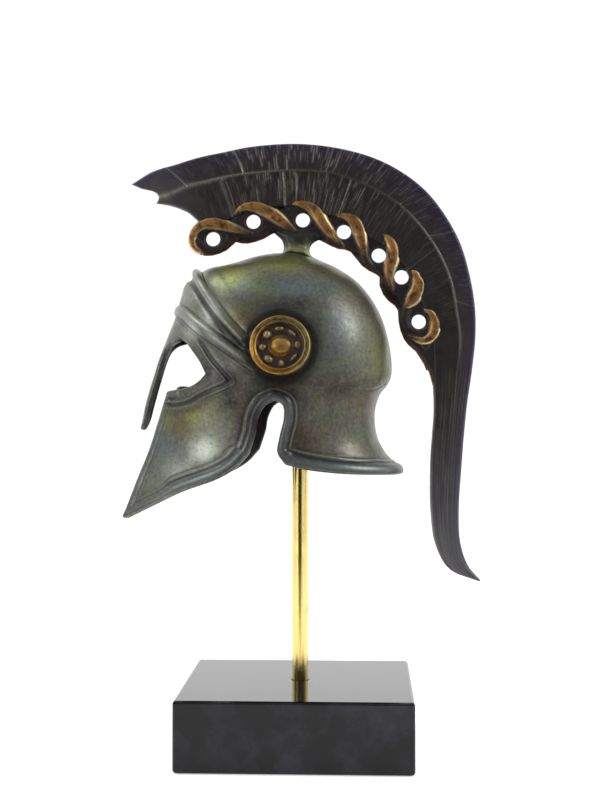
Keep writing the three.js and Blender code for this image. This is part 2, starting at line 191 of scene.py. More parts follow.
def trim(points, faces, field):
    """Keep the part of a mesh where field is above 0. Returns points, faces and the new edges in order."""
    value = field(points)
    edges = sorted({(min(a, b), max(a, b)) for face in faces
                    for a, b in zip(face, face[1:] + face[:1]) if (value[a] > 0) != (value[b] > 0)})
    ends = np.array(edges, int)
    inside = np.where(value[ends[:, :1]] > 0, ends[:, :1], ends[:, 1:])[:, 0]
    outside = ends.sum(1) - inside
    low, high = points[inside].copy(), points[outside].copy()
    for _ in range(HALVINGS):
        middle = (low + high) / 2
        kept = (field(middle) > 0)[:, None]
        low, high = np.where(kept, middle, low), np.where(kept, high, middle)
    cut_at = {edge: len(points) + index for index, edge in enumerate(edges)}
    made, rim = [], {}
    for face in faces:
        signs = [value[v] > 0 for v in face]
        if all(signs):
            made.append(face)
        elif any(signs):
            ring = []
            for a, b in zip(face, face[1:] + face[:1]):
                if value[a] > 0:
                    ring.append(a)
                if (value[a] > 0) != (value[b] > 0):
                    ring.append(cut_at[(min(a, b), max(a, b))])
            made.append(ring)
            for a, b in zip(ring, ring[1:] + ring[:1]):
                if a >= len(points) and b >= len(points):
                    rim[a] = b
    everything = np.vstack([points, low])
    used = sorted({v for face in made for v in face})
    renumber = {old: new for new, old in enumerate(used)}
    made = [[renumber[v] for v in face] for face in made]
    rim = {renumber[a]: renumber[b] for a, b in rim.items()}
    return everything[used], made, rim


def loops_of(rim):
    """The closed loops that the trimmed edges make."""
    left, loops = dict(rim), []
    while left:
        start, at = next(iter(left.items()))
        loop = [start]
        del left[start]
        while at in left:
            loop.append(at)
            at = left.pop(at)
        loops.append(loop)
    return loops


# %% [markdown]
# ## Camera, floor and light
# A small bronze like this is usually shown on a white table between soft boxes. The camera is level with
# the middle of the helmet and about two thirds of a metre away. The soft boxes stand at the
# sides, where the round dome and the cheek mirror them as broad pale patches. Polished metal also needs
# something dark to mirror, so black cards and a black flag stand around it, out of sight.

# %% The camera
camera = bpy.data.objects.new("camera", bpy.data.cameras.new("camera"))
bpy.context.scene.collection.objects.link(camera)
camera.location = (28.6 * MM, -658.8 * MM, 153.8 * MM)
camera.rotation_euler = (math.radians(90), 0, math.radians(2.43))
camera.data.lens = 66.96
camera.data.sensor_width = 36
camera.data.clip_start = 0.05
bpy.context.scene.camera = camera
bpy.context.scene.view_settings.view_transform = "Standard"
print("camera lens", camera.data.lens, "mm")


# %% Colours and nodes
def linear(hex_colour):
    """An sRGB colour such as '#5d6350' as the linear RGBA that Blender's sockets take."""
    values = [int(hex_colour[i:i + 2], 16) / 255 for i in (1, 3, 5)]
    return [v / 12.92 if v <= 0.04045 else ((v + 0.055) / 1.055) ** 2.4 for v in values] + [1.0]


def add_node(tree, kind, inputs=(), **settings):
    """Add a node, set what it is, and fill its inputs with values or with other nodes' outputs."""
    made = tree.nodes.new(kind)
    for name, value in settings.items():
        setattr(made, name, value)
    for key, value in dict(inputs).items():
        if isinstance(value, bpy.types.NodeSocket):
            tree.links.new(value, made.inputs[key])
        else:
            made.inputs[key].default_value = value
    return made


# %% The floor
floor_material = bpy.data.materials.new("white_table")
floor_material.use_nodes = True
floor_shader = floor_material.node_tree.nodes["Principled BSDF"]
floor_shader.inputs["Base Color"].default_value = linear("#f4f4f4")
floor_shader.inputs["Roughness"].default_value = 0.9
floor_shader.inputs["Emission Color"].default_value = (1, 1, 1, 1)
floor_shader.inputs["Emission Strength"].default_value = 0.5

bpy.ops.mesh.primitive_circle_add(vertices=96, radius=6.0, fill_type="NGON", location=(0, 0, -0.0002))
floor = bpy.context.object
floor.name = "floor"
floor.data.materials.append(floor_material)

# %% The white surround
# Seen directly it is plain white. As light it is bright behind the helmet and dim on the camera's side, like
# a room that opens onto a lit backdrop.
BACKDROP, ROOM = 1.35, 0.2
world = bpy.data.worlds.new("white_surround")
world.use_nodes = True
bpy.context.scene.world = world
tree = world.node_tree
tree.nodes.clear()
path = add_node(tree, "ShaderNodeLightPath")
towards = add_node(tree, "ShaderNodeTexCoord")
axes = add_node(tree, "ShaderNodeSeparateXYZ", {"Vector": towards.outputs["Generated"]})
room_to_sweep = add_node(tree, "ShaderNodeMapRange", {0: axes.outputs["Y"], 1: -0.35, 2: 0.45, 3: ROOM,
                                                      4: BACKDROP}, interpolation_type="SMOOTHSTEP")
seen = add_node(tree, "ShaderNodeBackground", {"Color": (1, 1, 1, 1), "Strength": 1.05})
lighting = add_node(tree, "ShaderNodeBackground", {"Color": (1, 1, 1, 1),
                                                   "Strength": room_to_sweep.outputs[0]})
mixed = add_node(tree, "ShaderNodeMixShader",
                 {0: path.outputs["Is Camera Ray"], 1: lighting.outputs[0], 2: seen.outputs[0]})
add_node(tree, "ShaderNodeOutputWorld", {"Surface": mixed.outputs[0]})
print("the surround shines", BACKDROP, "behind and", ROOM, "in front")

# %% The soft boxes
AIM = Vector((0, 0, 0.16))      # the middle of the helmet, in metres


def soft_box(name, azimuth, elevation, distance, width, height, watts):
    """A rectangular lamp facing the helmet. The azimuth is counted from the camera's side to the right."""
    lamp = bpy.data.lights.new(name, "AREA")
    lamp.shape = "RECTANGLE"
    lamp.size, lamp.size_y, lamp.energy = width, height, watts
    holder = bpy.data.objects.new(name, lamp)
    bpy.context.scene.collection.objects.link(holder)
    turn, rise = math.radians(azimuth), math.radians(elevation)
    outwards = Vector((math.sin(turn) * math.cos(rise), -math.cos(turn) * math.cos(rise), math.sin(rise)))
    holder.location = AIM + outwards * distance
    holder.rotation_euler = outwards.to_track_quat("Z", "Y").to_euler()
    print(name, "stands at", [round(value, 2) for value in holder.location])


soft_box("right_soft_box", 71, 28, 1.1, 0.3, 0.56, 4.8)
soft_box("left_soft_box", -48, 13, 1.1, 0.34, 0.5, 2.9)
soft_box("upper_left_soft_box", -80, 56, 1.1, 0.5, 0.5, 3)
soft_box("front_top_soft_box", 14, 50, 1.2, 1.0, 0.6, 1.0)

# %% The black cards
# The upright card beside the camera keeps the middle of the dome dark. The low card lies on the table and
# draws the dark line down the middle of the rod. It narrows towards the block, so the line fades at the
# rod's foot. The flag is a shallow cone round the front of the block, which keeps the undersides of the
# rims dark. It lies along the line of sight that the rod mirrors, so the rod sees only its edge. The two
# low ones only mirror.
felt = bpy.data.materials.new("black_felt")
felt.use_nodes = True
felt_shader = felt.node_tree.nodes["Principled BSDF"]
felt_shader.inputs["Base Color"].default_value = linear("#101010")
felt_shader.inputs["Roughness"].default_value = 1.0


def felt_card(name, points, faces, dims_light):
    """A card of black felt that the camera doesn't see, in metres. It can dim the light or only mirror."""
    mesh = bpy.data.meshes.new(name)
    mesh.from_pydata(points, [], faces)
    mesh.materials.append(felt)
    card = bpy.data.objects.new(name, mesh)
    bpy.context.scene.collection.objects.link(card)
    card.visible_camera = False
    card.visible_diffuse = card.visible_shadow = dims_light
    print(name, "has", len(points), "corners")
    return card


dark_card = felt_card("dark_card", [(-0.7, -1.5, 0), (0.8, -1.5, 0), (0.8, -1.5, 1.1), (-0.7, -1.5, 1.1)],
                      [[0, 1, 2, 3]], True)

TABLE = 0.0005      # just clear of the floor
low_card = felt_card("low_card", [
    (-0.02, -0.36, TABLE), (0.04, -0.36, TABLE), (0.3, -0.62, TABLE), (0.95, -2.4, TABLE),
    (-0.95, -2.4, TABLE), (-0.3, -0.62, TABLE)], [[0, 1, 2, 3, 4, 5]], False)

flag_turns = [math.radians(turn) for turn in range(-85, 86, 17)]
flag_rims = ((0.13, 0.075), (0.42, 0.045))      # radius and height of the inner and the outer rim
flag_points = [(radius * math.sin(turn), -radius * math.cos(turn), height)
               for radius, height in flag_rims for turn in flag_turns]
last_turn = len(flag_turns) - 1
flag_faces = [[k, k + 1, last_turn + k + 2, last_turn + k + 1] for k in range(last_turn)]
black_flag = felt_card("black_flag", flag_points, flag_faces, False)

# %% [markdown]
# ## The bowl
# Everything on the helmet lies on one bowl: a keeled egg that is round at the back and pinched to a keel
# in front. It is given as level sections from the crown down, joined by a smooth spline. A point on it is
# named by its turn round the axis and by its place in the list of sections, so that lines and edges can
# be drawn on it as seen from the side, as a goldsmith would scribe them on the sheet.

# %% The level sections
BOWL = [
    # height, front, back, half width, keel, middle
    [219.0, -5.0, -5.0, 0.0, 1.0, -5.0],
    [218.3, -13.0, 1.0, 7.0, 1.0, -6.0],
    [216.8, -20.5, 6.0, 11.8, 1.0, -7.0],
    [214.4, -28.5, 11.8, 16.0, 1.0, -7.5],
    [211.4, -40.5, 18.0, 20.2, 1.0, -8.0],
    [206.0, -49.4, 26.0, 25.4, 1.0, -8.0],
    [199.0, -52.2, 32.0, 30.0, 1.0, -8.0],
    [190.0, -54.8, 36.8, 33.6, 1.1, -8.0],
    [181.0, -58.5, 39.6, 35.5, 1.2, -8.0],
    [172.0, -62.0, 41.0, 36.0, 1.3, -8.0],
    [165.0, -64.1, 41.0, 36.0, 1.35, -8.0],
    [160.5, -65.4, 39.2, 35.8, 1.4, -8.0],
    [156.0, -66.5, 35.8, 35.4, 1.4, -8.0],
    [150.0, -67.9, 34.0, 34.8, 1.4, -8.0],
    [144.0, -69.1, 33.8, 34.2, 1.4, -8.0],
    [137.0, -71.0, 35.1, 34.0, 1.4, -8.0],
    [130.5, -73.0, 38.6, 34.2, 1.4, -8.0],
    [125.5, -75.0, 43.4, 34.8, 1.4, -8.0],
    [121.0, -77.2, 45.4, 35.2, 1.4, -8.0],
    [111.0, -82.0, 45.6, 34.4, 1.4, -8.0],
    [100.0, -87.0, 45.6, 33.0, 1.4, -8.0],
]
EQUATOR = 165.0
WALL_SIDE, WALL_FRONT, WALL_CROWN = 2.4, 2.8, 2.4
LEVELS = np.linspace(0, len(BOWL) - 1, 2001)
SECTIONS = spline(BOWL, LEVELS, even=True)
print("the bowl is", round(SECTIONS[:, 2].max() - SECTIONS[:, 1].min(), 1), "mm long")


# %% Points on the bowl
def on_bowl(angle, level, wall=0.0):
    """Points of the bowl at a turn and a level. wall=1 gives the inner face of the metal instead."""
    height, front, back, half, keel, middle = spline(BOWL, level, even=True).T
    half = np.maximum(half, 0)
    reach_front, reach_back = middle - front, back - middle
    if wall:
        widest = SECTIONS[np.argmax(SECTIONS[:, 0] <= EQUATOR)]
        above = height > EQUATOR
        full_front, full_back = widest[5] - widest[1], widest[2] - widest[5]
        reach_front = np.where(above, reach_front * (1 - wall * WALL_FRONT / full_front),
                               reach_front - wall * WALL_FRONT)
        reach_back = np.where(above, reach_back * (1 - wall * WALL_SIDE / full_back),
                              reach_back - wall * WALL_SIDE)
        half = np.where(above, half * (1 - wall * WALL_SIDE / widest[3]), half - wall * WALL_SIDE)
        crown = BOWL[0][0] - EQUATOR
        height = np.where(above, EQUATOR + (height - EQUATOR) * (1 - wall * WALL_CROWN / crown), height)
    c, s = np.cos(angle), np.sin(angle)
    side = np.where(c < 0, np.sign(s) * np.abs(s) ** keel, s)
    return np.stack([middle + np.where(c < 0, reach_front, reach_back) * c, half * side, height], axis=1)


def bowl_normal(angle, level):
    """The direction straight out of the bowl."""
    across = on_bowl(angle + 0.012, level) - on_bowl(angle - 0.012, level)
    down = on_bowl(angle, level + 0.03) - on_bowl(angle, level - 0.03)
    out = np.cross(down, across)
    size = np.linalg.norm(out, axis=1, keepdims=True)
    return np.where(size > 1e-6, out / np.maximum(size, 1e-9), [0.0, 0.0, 1.0])


def half_width(x, z):
    """How far the bowl reaches to the side at a place seen from the side."""
    columns = [np.interp(z, SECTIONS[::-1, 0], SECTIONS[::-1, k]) for k in range(1, 6)]
    front, back, half, keel, middle = columns
    forward = x < middle
    share = np.clip(np.abs(x - middle) / np.where(forward, middle - front, back - middle), 0, 1)
    return half * (1 - share**2) ** np.where(forward, keel / 2, 0.5)


def drawn_on_bowl(line):
    """A line seen from the side, laid on the near half of the bowl as points in space."""
    line = smooth_line(line, 24)
    return np.stack([line[:, 0], half_width(line[:, 0], line[:, 1]), line[:, 1]], axis=1)


# %% The outline of the metal seen from the side
EYE_EDGE = [[-53.5, 181], [-49.4, 179.3], [-45.6, 175], [-41.8, 170], [-39.2, 165]]
EYE_FLOOR = [[-39.2, 165], [-41.5, 162.6], [-45.5, 160], [-51, 158.6], [-56.7, 157.6]]
CHEEK_FRONT = [[-56.7, 157.6], [-59.9, 148.3], [-65, 133], [-71.1, 117.7], [-77.4, 101.6]]
CHEEK_BELOW = [[-77.2, 101.0], [-63.3, 107.8], [-49.5, 114.3], [-33, 120.4], [-25.3, 124.9],
               [-19.6, 130.9]]
CHEEK_BACK = [[-19.6, 130.9], [-16.7, 140], [-15.6, 146], [-12.6, 151.4], [-8.4, 153.5]]
NAPE_FRONT = [[-8.4, 153.5], [-5.2, 151.6], [-4.7, 146.5], [-6.6, 138.4], [-7.5, 131.6], [-4.2, 126.4]]
NAPE_BELOW = [[-4.2, 126.4], [6, 124], [19, 122.4], [32, 121.6], [45.4, 121]]
NASAL = [[0.6, 141], [2.4, 142.2], [3.7, 146], [4.2, 152], [4.4, 162], [4.8, 171], [6.2, 175.6],
         [10, 178.6], [16, 180.4]]
OUTLINE = np.vstack([
    [[-120, 181]], smooth_line(EYE_EDGE), smooth_line(EYE_FLOOR)[1:], smooth_line(CHEEK_FRONT)[1:],
    smooth_line(CHEEK_BELOW), smooth_line(CHEEK_BACK)[1:], smooth_line(NAPE_FRONT)[1:],
    smooth_line(NAPE_BELOW)[1:], [[90, 121], [90, 60], [-120, 60]],
])
NASAL_EDGE = smooth_line(NASAL)
NASAL_BELOW, NASAL_TOP, NASAL_BACK = 140.4, 186, -45     # the box that the nose guard's outline holds in
RIM_BULGE = 1.0     # how far the rounded rim swells past the trimmed edge


def inside_by(spots, outline):
    """How far each spot is inside a closed outline, below 0 outside it."""
    gap = np.full(len(spots), 1e9)
    inside = np.zeros(len(spots), bool)
    for a, b in zip(outline, np.roll(outline, -1, axis=0)):
        along = b - a
        share = np.clip((spots - a) @ along / max(along @ along, 1e-12), 0, 1)
        gap = np.minimum(gap, np.hypot(*(spots - a - share[:, None] * along).T))
        if a[1] != b[1]:
            crosses = (spots[:, 1] < a[1]) != (spots[:, 1] < b[1])
            at = a[0] + (spots[:, 1] - a[1]) / (b[1] - a[1]) * along[0]
            inside ^= crosses & (spots[:, 0] < at)
    return np.where(inside, gap, -gap)


def metal(points):
    """How far inside the edge of the metal a point of the bowl is."""
    side = -inside_by(points[:, [0, 2]], OUTLINE)
    nasal_half = np.interp(points[:, 2], NASAL_EDGE[:, 1], NASAL_EDGE[:, 0])
    nasal = np.minimum.reduce([nasal_half - np.abs(points[:, 1]), points[:, 2] - NASAL_BELOW,
                               NASAL_BACK - points[:, 0], NASAL_TOP - points[:, 2]])
    return np.maximum(side, nasal) - RIM_BULGE


# %% The lines worked on the bowl
BROW_RIDGE = [[-46.4, 212], [-42.8, 205.8], [-39.4, 200.4], [-36, 195.6], [-32.4, 191], [-28.8, 186.7],
              [-25.2, 182.8], [-22, 179.6], [-18.5, 175.8]]
LOW_RIDGE = [[-53.6, 193.2], [-50, 191.8], [-45, 187.8], [-39.5, 183.6], [-34, 179.8], [-28.4, 176],
             [-22.8, 172.2], [-17.4, 168.8], [-14.5, 166.6]]
EYE_BORDER_TOP = [[-44, 182.4], [-39.4, 176.6], [-35.6, 171], [-31, 165.8], [-27.2, 161.7]]
EYE_BORDER_LOW = [[-27.2, 161.7], [-32, 159.5], [-37, 157.6], [-41, 155.8], [-44.6, 153.6],
                  [-50.2, 151.9], [-57.5, 151.5]]
NAPE_CREASE = [[24, 158.6], [28, 158], [32, 158], [35.5, 159], [38.6, 160.8]]
brow_line = drawn_on_bowl(BROW_RIDGE)
low_line = drawn_on_bowl(LOW_RIDGE)
eye_line = np.vstack([drawn_on_bowl(EYE_BORDER_TOP), drawn_on_bowl(EYE_BORDER_LOW)[1:]])
crease_line = drawn_on_bowl(NAPE_CREASE)
ROSETTE_AT = np.array([-6.0, float(half_width(-6.0, 176.6)), 176.6])
MOAT_RADIUS = 14    # the sunk ring round each rosette, where the rosette's painted shadow lies

# Profile rows: offset, half width, height, dark, pale, flatness of the top. Offsets grow towards the
# dome.
# The brow ridge's second row is a dark step on its dome side: patina, and painted shade where the dome drops
# away behind the ridge.
BROW_PROFILE = [[0.1, 2.0, 1.8, 0, 0.6, 3], [3.3, 1.7, -0.5, 1.0, 0, 4], [-2.5, 0.35, -0.35, 0.7, 0, 2],
                [-6.4, 3.2, 0.3, 0, 0.4, 4]]
LOW_PROFILE = [[0.0, 2.3, 1.15, 0, 0.8, 3], [2.9, 0.4, -0.4, 0.9, 0, 2], [4.2, 0.3, -0.15, 0.5, 0, 2],
               [-2.8, 0.5, -0.5, 0.9, 0, 2]]
# Round the eye, the fourth row is painted shade just outside the border, and the last row is painted shade
# on the flat band inside it, with no relief.
EYE_PROFILE = [[-1.6, 0.38, 0.22, 0, 0.35, 2], [1.4, 0.34, 0.4, 0, 0.75, 2], [0, 0.95, -0.4, 0.75, 0, 4],
               [2.1, 0.4, -0.12, 0.35, 0, 2], [-3.3, 1.8, 0.0, 0.5, 0, 2]]
CREASE_PROFILE = [[0, 0.5, -0.35, 0.7, 0, 2]]
# Round the rosettes: a shallow sunk ring, dark with patina, and a painted shadow of the rosette that runs on
# past it over the dome.
ROSETTE_MOAT_AND_SHADOW = [[13.5, 1.7, -0.5, 1.0, 0, 4], [15.8, 2.4, 0.0, 0.6, 0, 2]]
# On the rolled rim, the pale line along the roll's crest is partly rubbed metal and partly a painted
# highlight.
RIM_PROFILE = [[2.1, 2.4, 1.5, 0.1, 0, 2.4], [1.9, 0.8, 0.05, 0, 0.8, 2], [0.0, 1.0, 0.0, 0.6, 0, 2],
               [4.5, 0.7, -0.25, 1.0, 0, 2], [5.5, 0.5, 0.24, 0, 0.5, 2], [6.4, 0.5, -0.18, 0.7, 0, 2]]
print("lines on the bowl:", len(brow_line) + len(low_line) + len(eye_line) + len(crease_line), "points")

# %% [markdown]
# ## The helmet shell
# The real shell is cast about two and a half millimetres thick, with a rolled rim, two ridges that sweep
# from the brow to the ear and a double line round the eye. A fine net on the bowl is trimmed to the
# outline, then pushed in and out by the relief. The net is made finer only where there is relief, so that
# the piece stays light. A second, plainer net gives the inside, and rounded strips close the rim between
# the two.

# %% Where the metal is, and where it has relief
FAR_FLOOR_LIFT, FAR_FLOOR_PATCH = 2.4, (-55.5, 158.5, 5, 2.6)


def turn_of(net):
    """The turn of a net point, which is kept as a spot on a circle so that the net has no seam."""
    return np.arctan2(net[:, 1], net[:, 0])


def in_metal(net):
    """Where the net lies in the metal; the floor of the far eye stands a little higher at its front."""
    spots = on_bowl(turn_of(net), net[:, 2])
    spots[:, 2] -= FAR_FLOOR_LIFT * soft_patch(spots, *FAR_FLOOR_PATCH) * (spots[:, 1] > 0)
    return metal(spots)


def to_one_side(points):
    """The points with both halves of the bowl folded onto the side where the lines are drawn."""
    return points * [1, 0, 1] + np.abs(points) * [0, 1, 0]


def near_edge(net):
    """How near a net point is to an edge, in mm, less one."""
    return np.abs(in_metal(net)) - 1.0


def near_relief(net):
    """How near a net point is to an edge or to relief, in mm, less one."""
    points = on_bowl(turn_of(net), net[:, 2])
    near = near_edge(net)
    folded = to_one_side(points)
    for line, reach in ((brow_line, 4.5), (low_line, 2.0), (eye_line, 2.0), (crease_line, 0.0)):
        near = np.minimum(near, nearest_on_line(line, folded)[0] - reach)
    from_moat = np.abs(np.linalg.norm(folded - ROSETTE_AT, axis=1) - MOAT_RADIUS)
    return np.minimum(near, from_moat - 1)


# %% The net on the bowl
NET_CELL = 1.9      # mm between the lines of the net before it is made finer
NET_RADIUS = 44.5   # a circle of about the bowl's length, which sets how many lines run down it


def bowl_net(cell, nearness, finer):
    """A net of cells of about that size on the bowl, cut finer once for each reach in the list."""
    steps = np.abs(np.diff(SECTIONS[:, :4], axis=0))
    walked = np.concatenate([[0], np.cumsum(np.hypot(steps[:, 0], steps[:, 1:].max(1)))])
    rows = np.interp(np.linspace(0, walked[-1], int(walked[-1] / cell)), walked, LEVELS)
    columns = int(2 * np.pi * NET_RADIUS / cell)
    turns = np.arange(columns) * 2 * np.pi / columns
    net = bmesh.new()
    made = [[net.verts.new((math.cos(turn), math.sin(turn), row)) for turn in turns] for row in rows]
    for upper, lower in zip(made, made[1:]):
        for k in range(columns):
            n = (k + 1) % columns
            net.faces.new((upper[k], lower[k], lower[n], upper[n]))
    for reach in finer:
        net.verts.index_update()
        close = nearness(np.array([v.co for v in net.verts])) < reach
        edges = {e for f in net.faces if any(close[v.index] for v in f.verts) for e in f.edges}
        bmesh.ops.subdivide_edges(net, edges=list(edges), cuts=1, use_grid_fill=True)
    net.verts.index_update()
    points = np.array([v.co for v in net.verts])
    faces = [[v.index for v in f.verts] for f in net.faces]
    net.free()
    return points, faces


# Both nets are cut from the same cells and are equally fine along the edge, so that they meet exactly.
outer_net, outer_faces, outer_rim = trim(*bowl_net(NET_CELL, near_relief, (6.6, 5.4)), in_metal)
inner_net, inner_faces, _ = trim(*bowl_net(NET_CELL, near_edge, (1.7, 0.5)), in_metal)
rim_loop = max(loops_of(outer_rim), key=len)
print("outer net", len(outer_faces), "faces, inner net", len(inner_faces), "faces, rim", len(rim_loop))

# %% The relief on the outside
outer_at = on_bowl(turn_of(outer_net), outer_net[:, 2])
outer_out = bowl_normal(turn_of(outer_net), outer_net[:, 2])
folded, folded_out = to_one_side(outer_at), to_one_side(outer_out)
relief = Relief(len(outer_at))


def signed(line, fade_in, fade_out):
    """Signed distance from a line on the bowl, above 0 to its left, and a weight that fades at its ends."""
    gap, share, spots = nearest_on_line(line, folded)
    index = np.clip((share * (len(line) - 1)).astype(int), 1, len(line) - 2)
    along = line[index + 1] - line[index - 1]
    side = np.einsum("ij,ij->i", folded - spots, np.cross(folded_out, along))
    weight = smoothstep(share, -0.001, fade_in) * (1 - smoothstep(share, 1 - fade_out, 1.0))
    return gap * np.sign(side), weight


upper_end = 1 - smoothstep(np.linalg.norm(folded - brow_line[0], axis=1), 1.5, 9)
for line, profile, fade_in, fade_out, swell in (
        (brow_line, BROW_PROFILE, 1e-4, 0.12, 1 + 0.6 * upper_end), (low_line, LOW_PROFILE, 1e-4, 0.12, 1),
        (eye_line, EYE_PROFILE, 0.05, 0.02, 1), (crease_line, CREASE_PROFILE, 0.6, 1e-4, 1)):
    distance, weight = signed(line, fade_in, fade_out)
    relief.add(distance, profile, weight * swell)
relief.add(np.linalg.norm(folded - ROSETTE_AT, axis=1), ROSETTE_MOAT_AND_SHADOW)
print("the relief stands from", round(relief.height.min(), 1), "to", round(relief.height.max(), 1), "mm")

# %% The rolled rim
rim_points = outer_at[rim_loop]
rx, ry, rz = rim_points.T
# The rim is plain round the nose guard and the eyes, slight down the cheek's front and broadest underneath.
NASAL_HALF, NASAL_TIP = 9, 139
EYE_BELOW, EYE_BEHIND = 157.2, -36
CHEEK_TOP, CHEEK_BEHIND, CHEEK_TIP = 157.6, -55, (-76, 104)
UNDERNEATH = 131
at_nasal = (np.abs(ry) < NASAL_HALF) & (rz > NASAL_TIP) & (rx < NASAL_BACK)
at_eye = (rz > EYE_BELOW) & (rx < EYE_BEHIND) | at_nasal
above_tip = rz > CHEEK_TIP[1] - (rx - CHEEK_TIP[0]) * 0.2
at_front = (rx < CHEEK_BEHIND) & (rz <= CHEEK_TOP) & ~at_nasal & above_tip
below = (rz < UNDERNEATH) & ~at_front
rolled = np.where(at_eye, 0.0, np.where(at_front, 0.55, 1.0))
lined = np.where(at_eye, 0.0, np.where(at_front, 0.45, 1.0))
widened = np.where(below, 1.25, np.where(at_front, 0.95, 0.92))


def eased(values, reach=7):
    """The values round a closed loop, each averaged with its neighbours."""
    window = np.ones(2 * reach + 1) / (2 * reach + 1)
    return np.convolve(np.concatenate([values[-reach:], values, values[:reach]]), window, "valid")


rolled, lined, widened = eased(rolled), eased(lined), eased(widened)
closed_rim = np.vstack([rim_points, rim_points[:1]])
gap, share, _ = nearest_on_line(closed_rim, outer_at)
along = share * len(rim_points)
places = np.arange(len(rim_points) + 1)
rolled_at = np.interp(along, places, np.append(rolled, rolled[0]))
lined_at = np.interp(along, places, np.append(lined, lined[0]))
width_at = np.interp(along, places, np.append(widened, widened[0]))
from_edge = (gap + RIM_BULGE) / width_at
relief.add(from_edge, RIM_PROFILE[:3], rolled_at)
relief.add(from_edge, RIM_PROFILE[3:], lined_at)
slate = rolled_at * (1 - smoothstep(from_edge, 3.6, 4.8))
print("the rim is", round(float(np.linalg.norm(np.diff(closed_rim, axis=0), axis=1).sum())), "mm long")

# %% A cast surface is never quite even
chance = np.random.default_rng(7)


def uneven(points, wavelengths, depth):
    """A gentle unevenness made of a few waves in chance directions."""
    total = np.zeros(len(points))
    for wavelength in wavelengths:
        direction = chance.normal(size=3)
        direction /= np.linalg.norm(direction)
        total += np.sin(points @ direction * 2 * np.pi / wavelength + chance.uniform(0, 6.28))
    return total * depth / len(wavelengths)


height = relief.height + uneven(outer_at, (13, 17, 21, 26, 33, 44), 0.22)
print("with the casting's unevenness it stands up to", round(height.max(), 2), "mm")
outer_points = outer_at + outer_out * height[:, None]
inner_points = on_bowl(turn_of(inner_net), inner_net[:, 2], wall=1.0)

# %% Rounded strips that close the rim
inner_tree = search_tree(inner_net)
partners = [inner_tree.find(outer_net[v]) for v in rim_loop]
inner_loop = [index for _, index, _ in partners]
mismatch = max(gap for _, _, gap in partners)
near_loop, far_loop = outer_points[rim_loop], inner_points[inner_loop]
NEIGHBOURS = 3      # the rim's direction is taken this many steps to either side
tangent = np.roll(near_loop, -NEIGHBOURS, axis=0) - np.roll(near_loop, NEIGHBOURS, axis=0)
tangent /= np.linalg.norm(tangent, axis=1, keepdims=True)
across = near_loop - far_loop
outwards = np.cross(tangent, across)
outwards /= np.linalg.norm(outwards, axis=1, keepdims=True)
probe = metal(near_loop + outwards * 0.5) - metal(near_loop - outwards * 0.5)
if np.median(probe) > 0:
    outwards = -outwards
STRIPS = 5
rings = []
for step in range(1, STRIPS):
    turn = math.pi * step / STRIPS
    rings.append((near_loop + far_loop) / 2 + across / 2 * math.cos(turn)
                 + outwards * RIM_BULGE * math.sin(turn))
print("the two nets meet within", round(mismatch, 6), "and the rim has", len(rim_loop), "steps")

# %% The shell's points and faces
shell_points = np.vstack([outer_points, inner_points] + rings)
NASAL_LEAN = 0.7    # how far forward the nose guard's tip leans
on_nasal = (np.abs(shell_points[:, 1]) < 7) & (shell_points[:, 0] < -52) & (shell_points[:, 2] > 139)
shell_points[:, 0] -= NASAL_LEAN * on_nasal * smoothstep(-shell_points[:, 2], -172, -146)
inner_start, ring_start = len(outer_points), len(outer_points) + len(inner_points)
chains = [rim_loop]
for step in range(STRIPS - 1):
    start = ring_start + step * len(rim_loop)
    chains.append(list(range(start, start + len(rim_loop))))
chains.append([inner_start + v for v in inner_loop])
shell_faces = [list(face) for face in outer_faces]
shell_faces += [[inner_start + v for v in reversed(face)] for face in inner_faces]
for first, second in zip(chains, chains[1:]):
    for k in range(len(first)):
        n = (k + 1) % len(first)
        shell_faces.append([first[n], first[k], second[k], second[n]])

# %% The socket that the rod stands in
SOCKET_RADIUS, SOCKET_BOTTOM, SOCKET_TOP = 6.25, 197.0, 215.4
ROD_X, ROD_RADIUS, ROD_FOOT, ROD_TOP, FIT = 0.7, 3.5, 20.0, 213.0, 0.3


def lathe(profile, sides):
    """Points and faces of a round piece turned about the rod's axis from [radius, height] rows."""
    turns = np.arange(sides) * 2 * np.pi / sides
    points = np.array([[ROD_X + r * math.cos(t), r * math.sin(t), z] for r, z in profile for t in turns])
    return points, ring_faces(len(profile), sides)


BORE = ROD_RADIUS + FIT
socket_points, socket_faces = lathe([
    [BORE, SOCKET_BOTTOM + 0.5], [BORE + 0.5, SOCKET_BOTTOM], [SOCKET_RADIUS - 0.8, SOCKET_BOTTOM],
    [SOCKET_RADIUS, SOCKET_BOTTOM + 0.8], [SOCKET_RADIUS, SOCKET_TOP], [0.0, SOCKET_TOP],
    [0.0, ROD_TOP + FIT], [BORE, ROD_TOP + FIT], [BORE, SOCKET_BOTTOM + 0.5]], 48)
socket_start = len(shell_points)
shell_points = np.vstack([shell_points, socket_points])
shell_faces += [[socket_start + v for v in face] for face in socket_faces]

# %% Where the patina is dark or painted shade darkens it, and where it is rubbed
# Hands rub the ridges on the brow but seldom their ends by the ear, nor the front of the notch below it.
plain = np.zeros(len(shell_points) - len(outer_at))
rubbed = 1 - 0.8 * smoothstep(outer_at[:, 0], -38, -25) * (outer_at[:, 2] > 159)
rubbed = rubbed * (1 - 0.7 * soft_patch(outer_at, -17, 148, 7, 15))
hidden = np.zeros(len(shell_points))
hidden[inner_start:ring_start] = 1
hidden[socket_start:] = 1
shell = new_piece("shell", shell_points, shell_faces, {
    "dark": np.concatenate([relief.dark, plain]), "pale": np.concatenate([relief.pale * rubbed, plain]),
    "inside": hidden, "slate": np.concatenate([slate, plain])})
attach(shell, "root")
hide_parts("helmet_shell")

# %% [markdown]
# ## The ear rosettes
# Over each ear sits a round gilt boss: a rolled ring with a sloping band inside it, a dark sunk dish with
# eight small leaves, and a domed button. It is a disc of rings and spokes whose height is worked out from
# the distance to the middle, with the leaves added where the turn is near theirs. Its skirt runs down to
# the bowl.

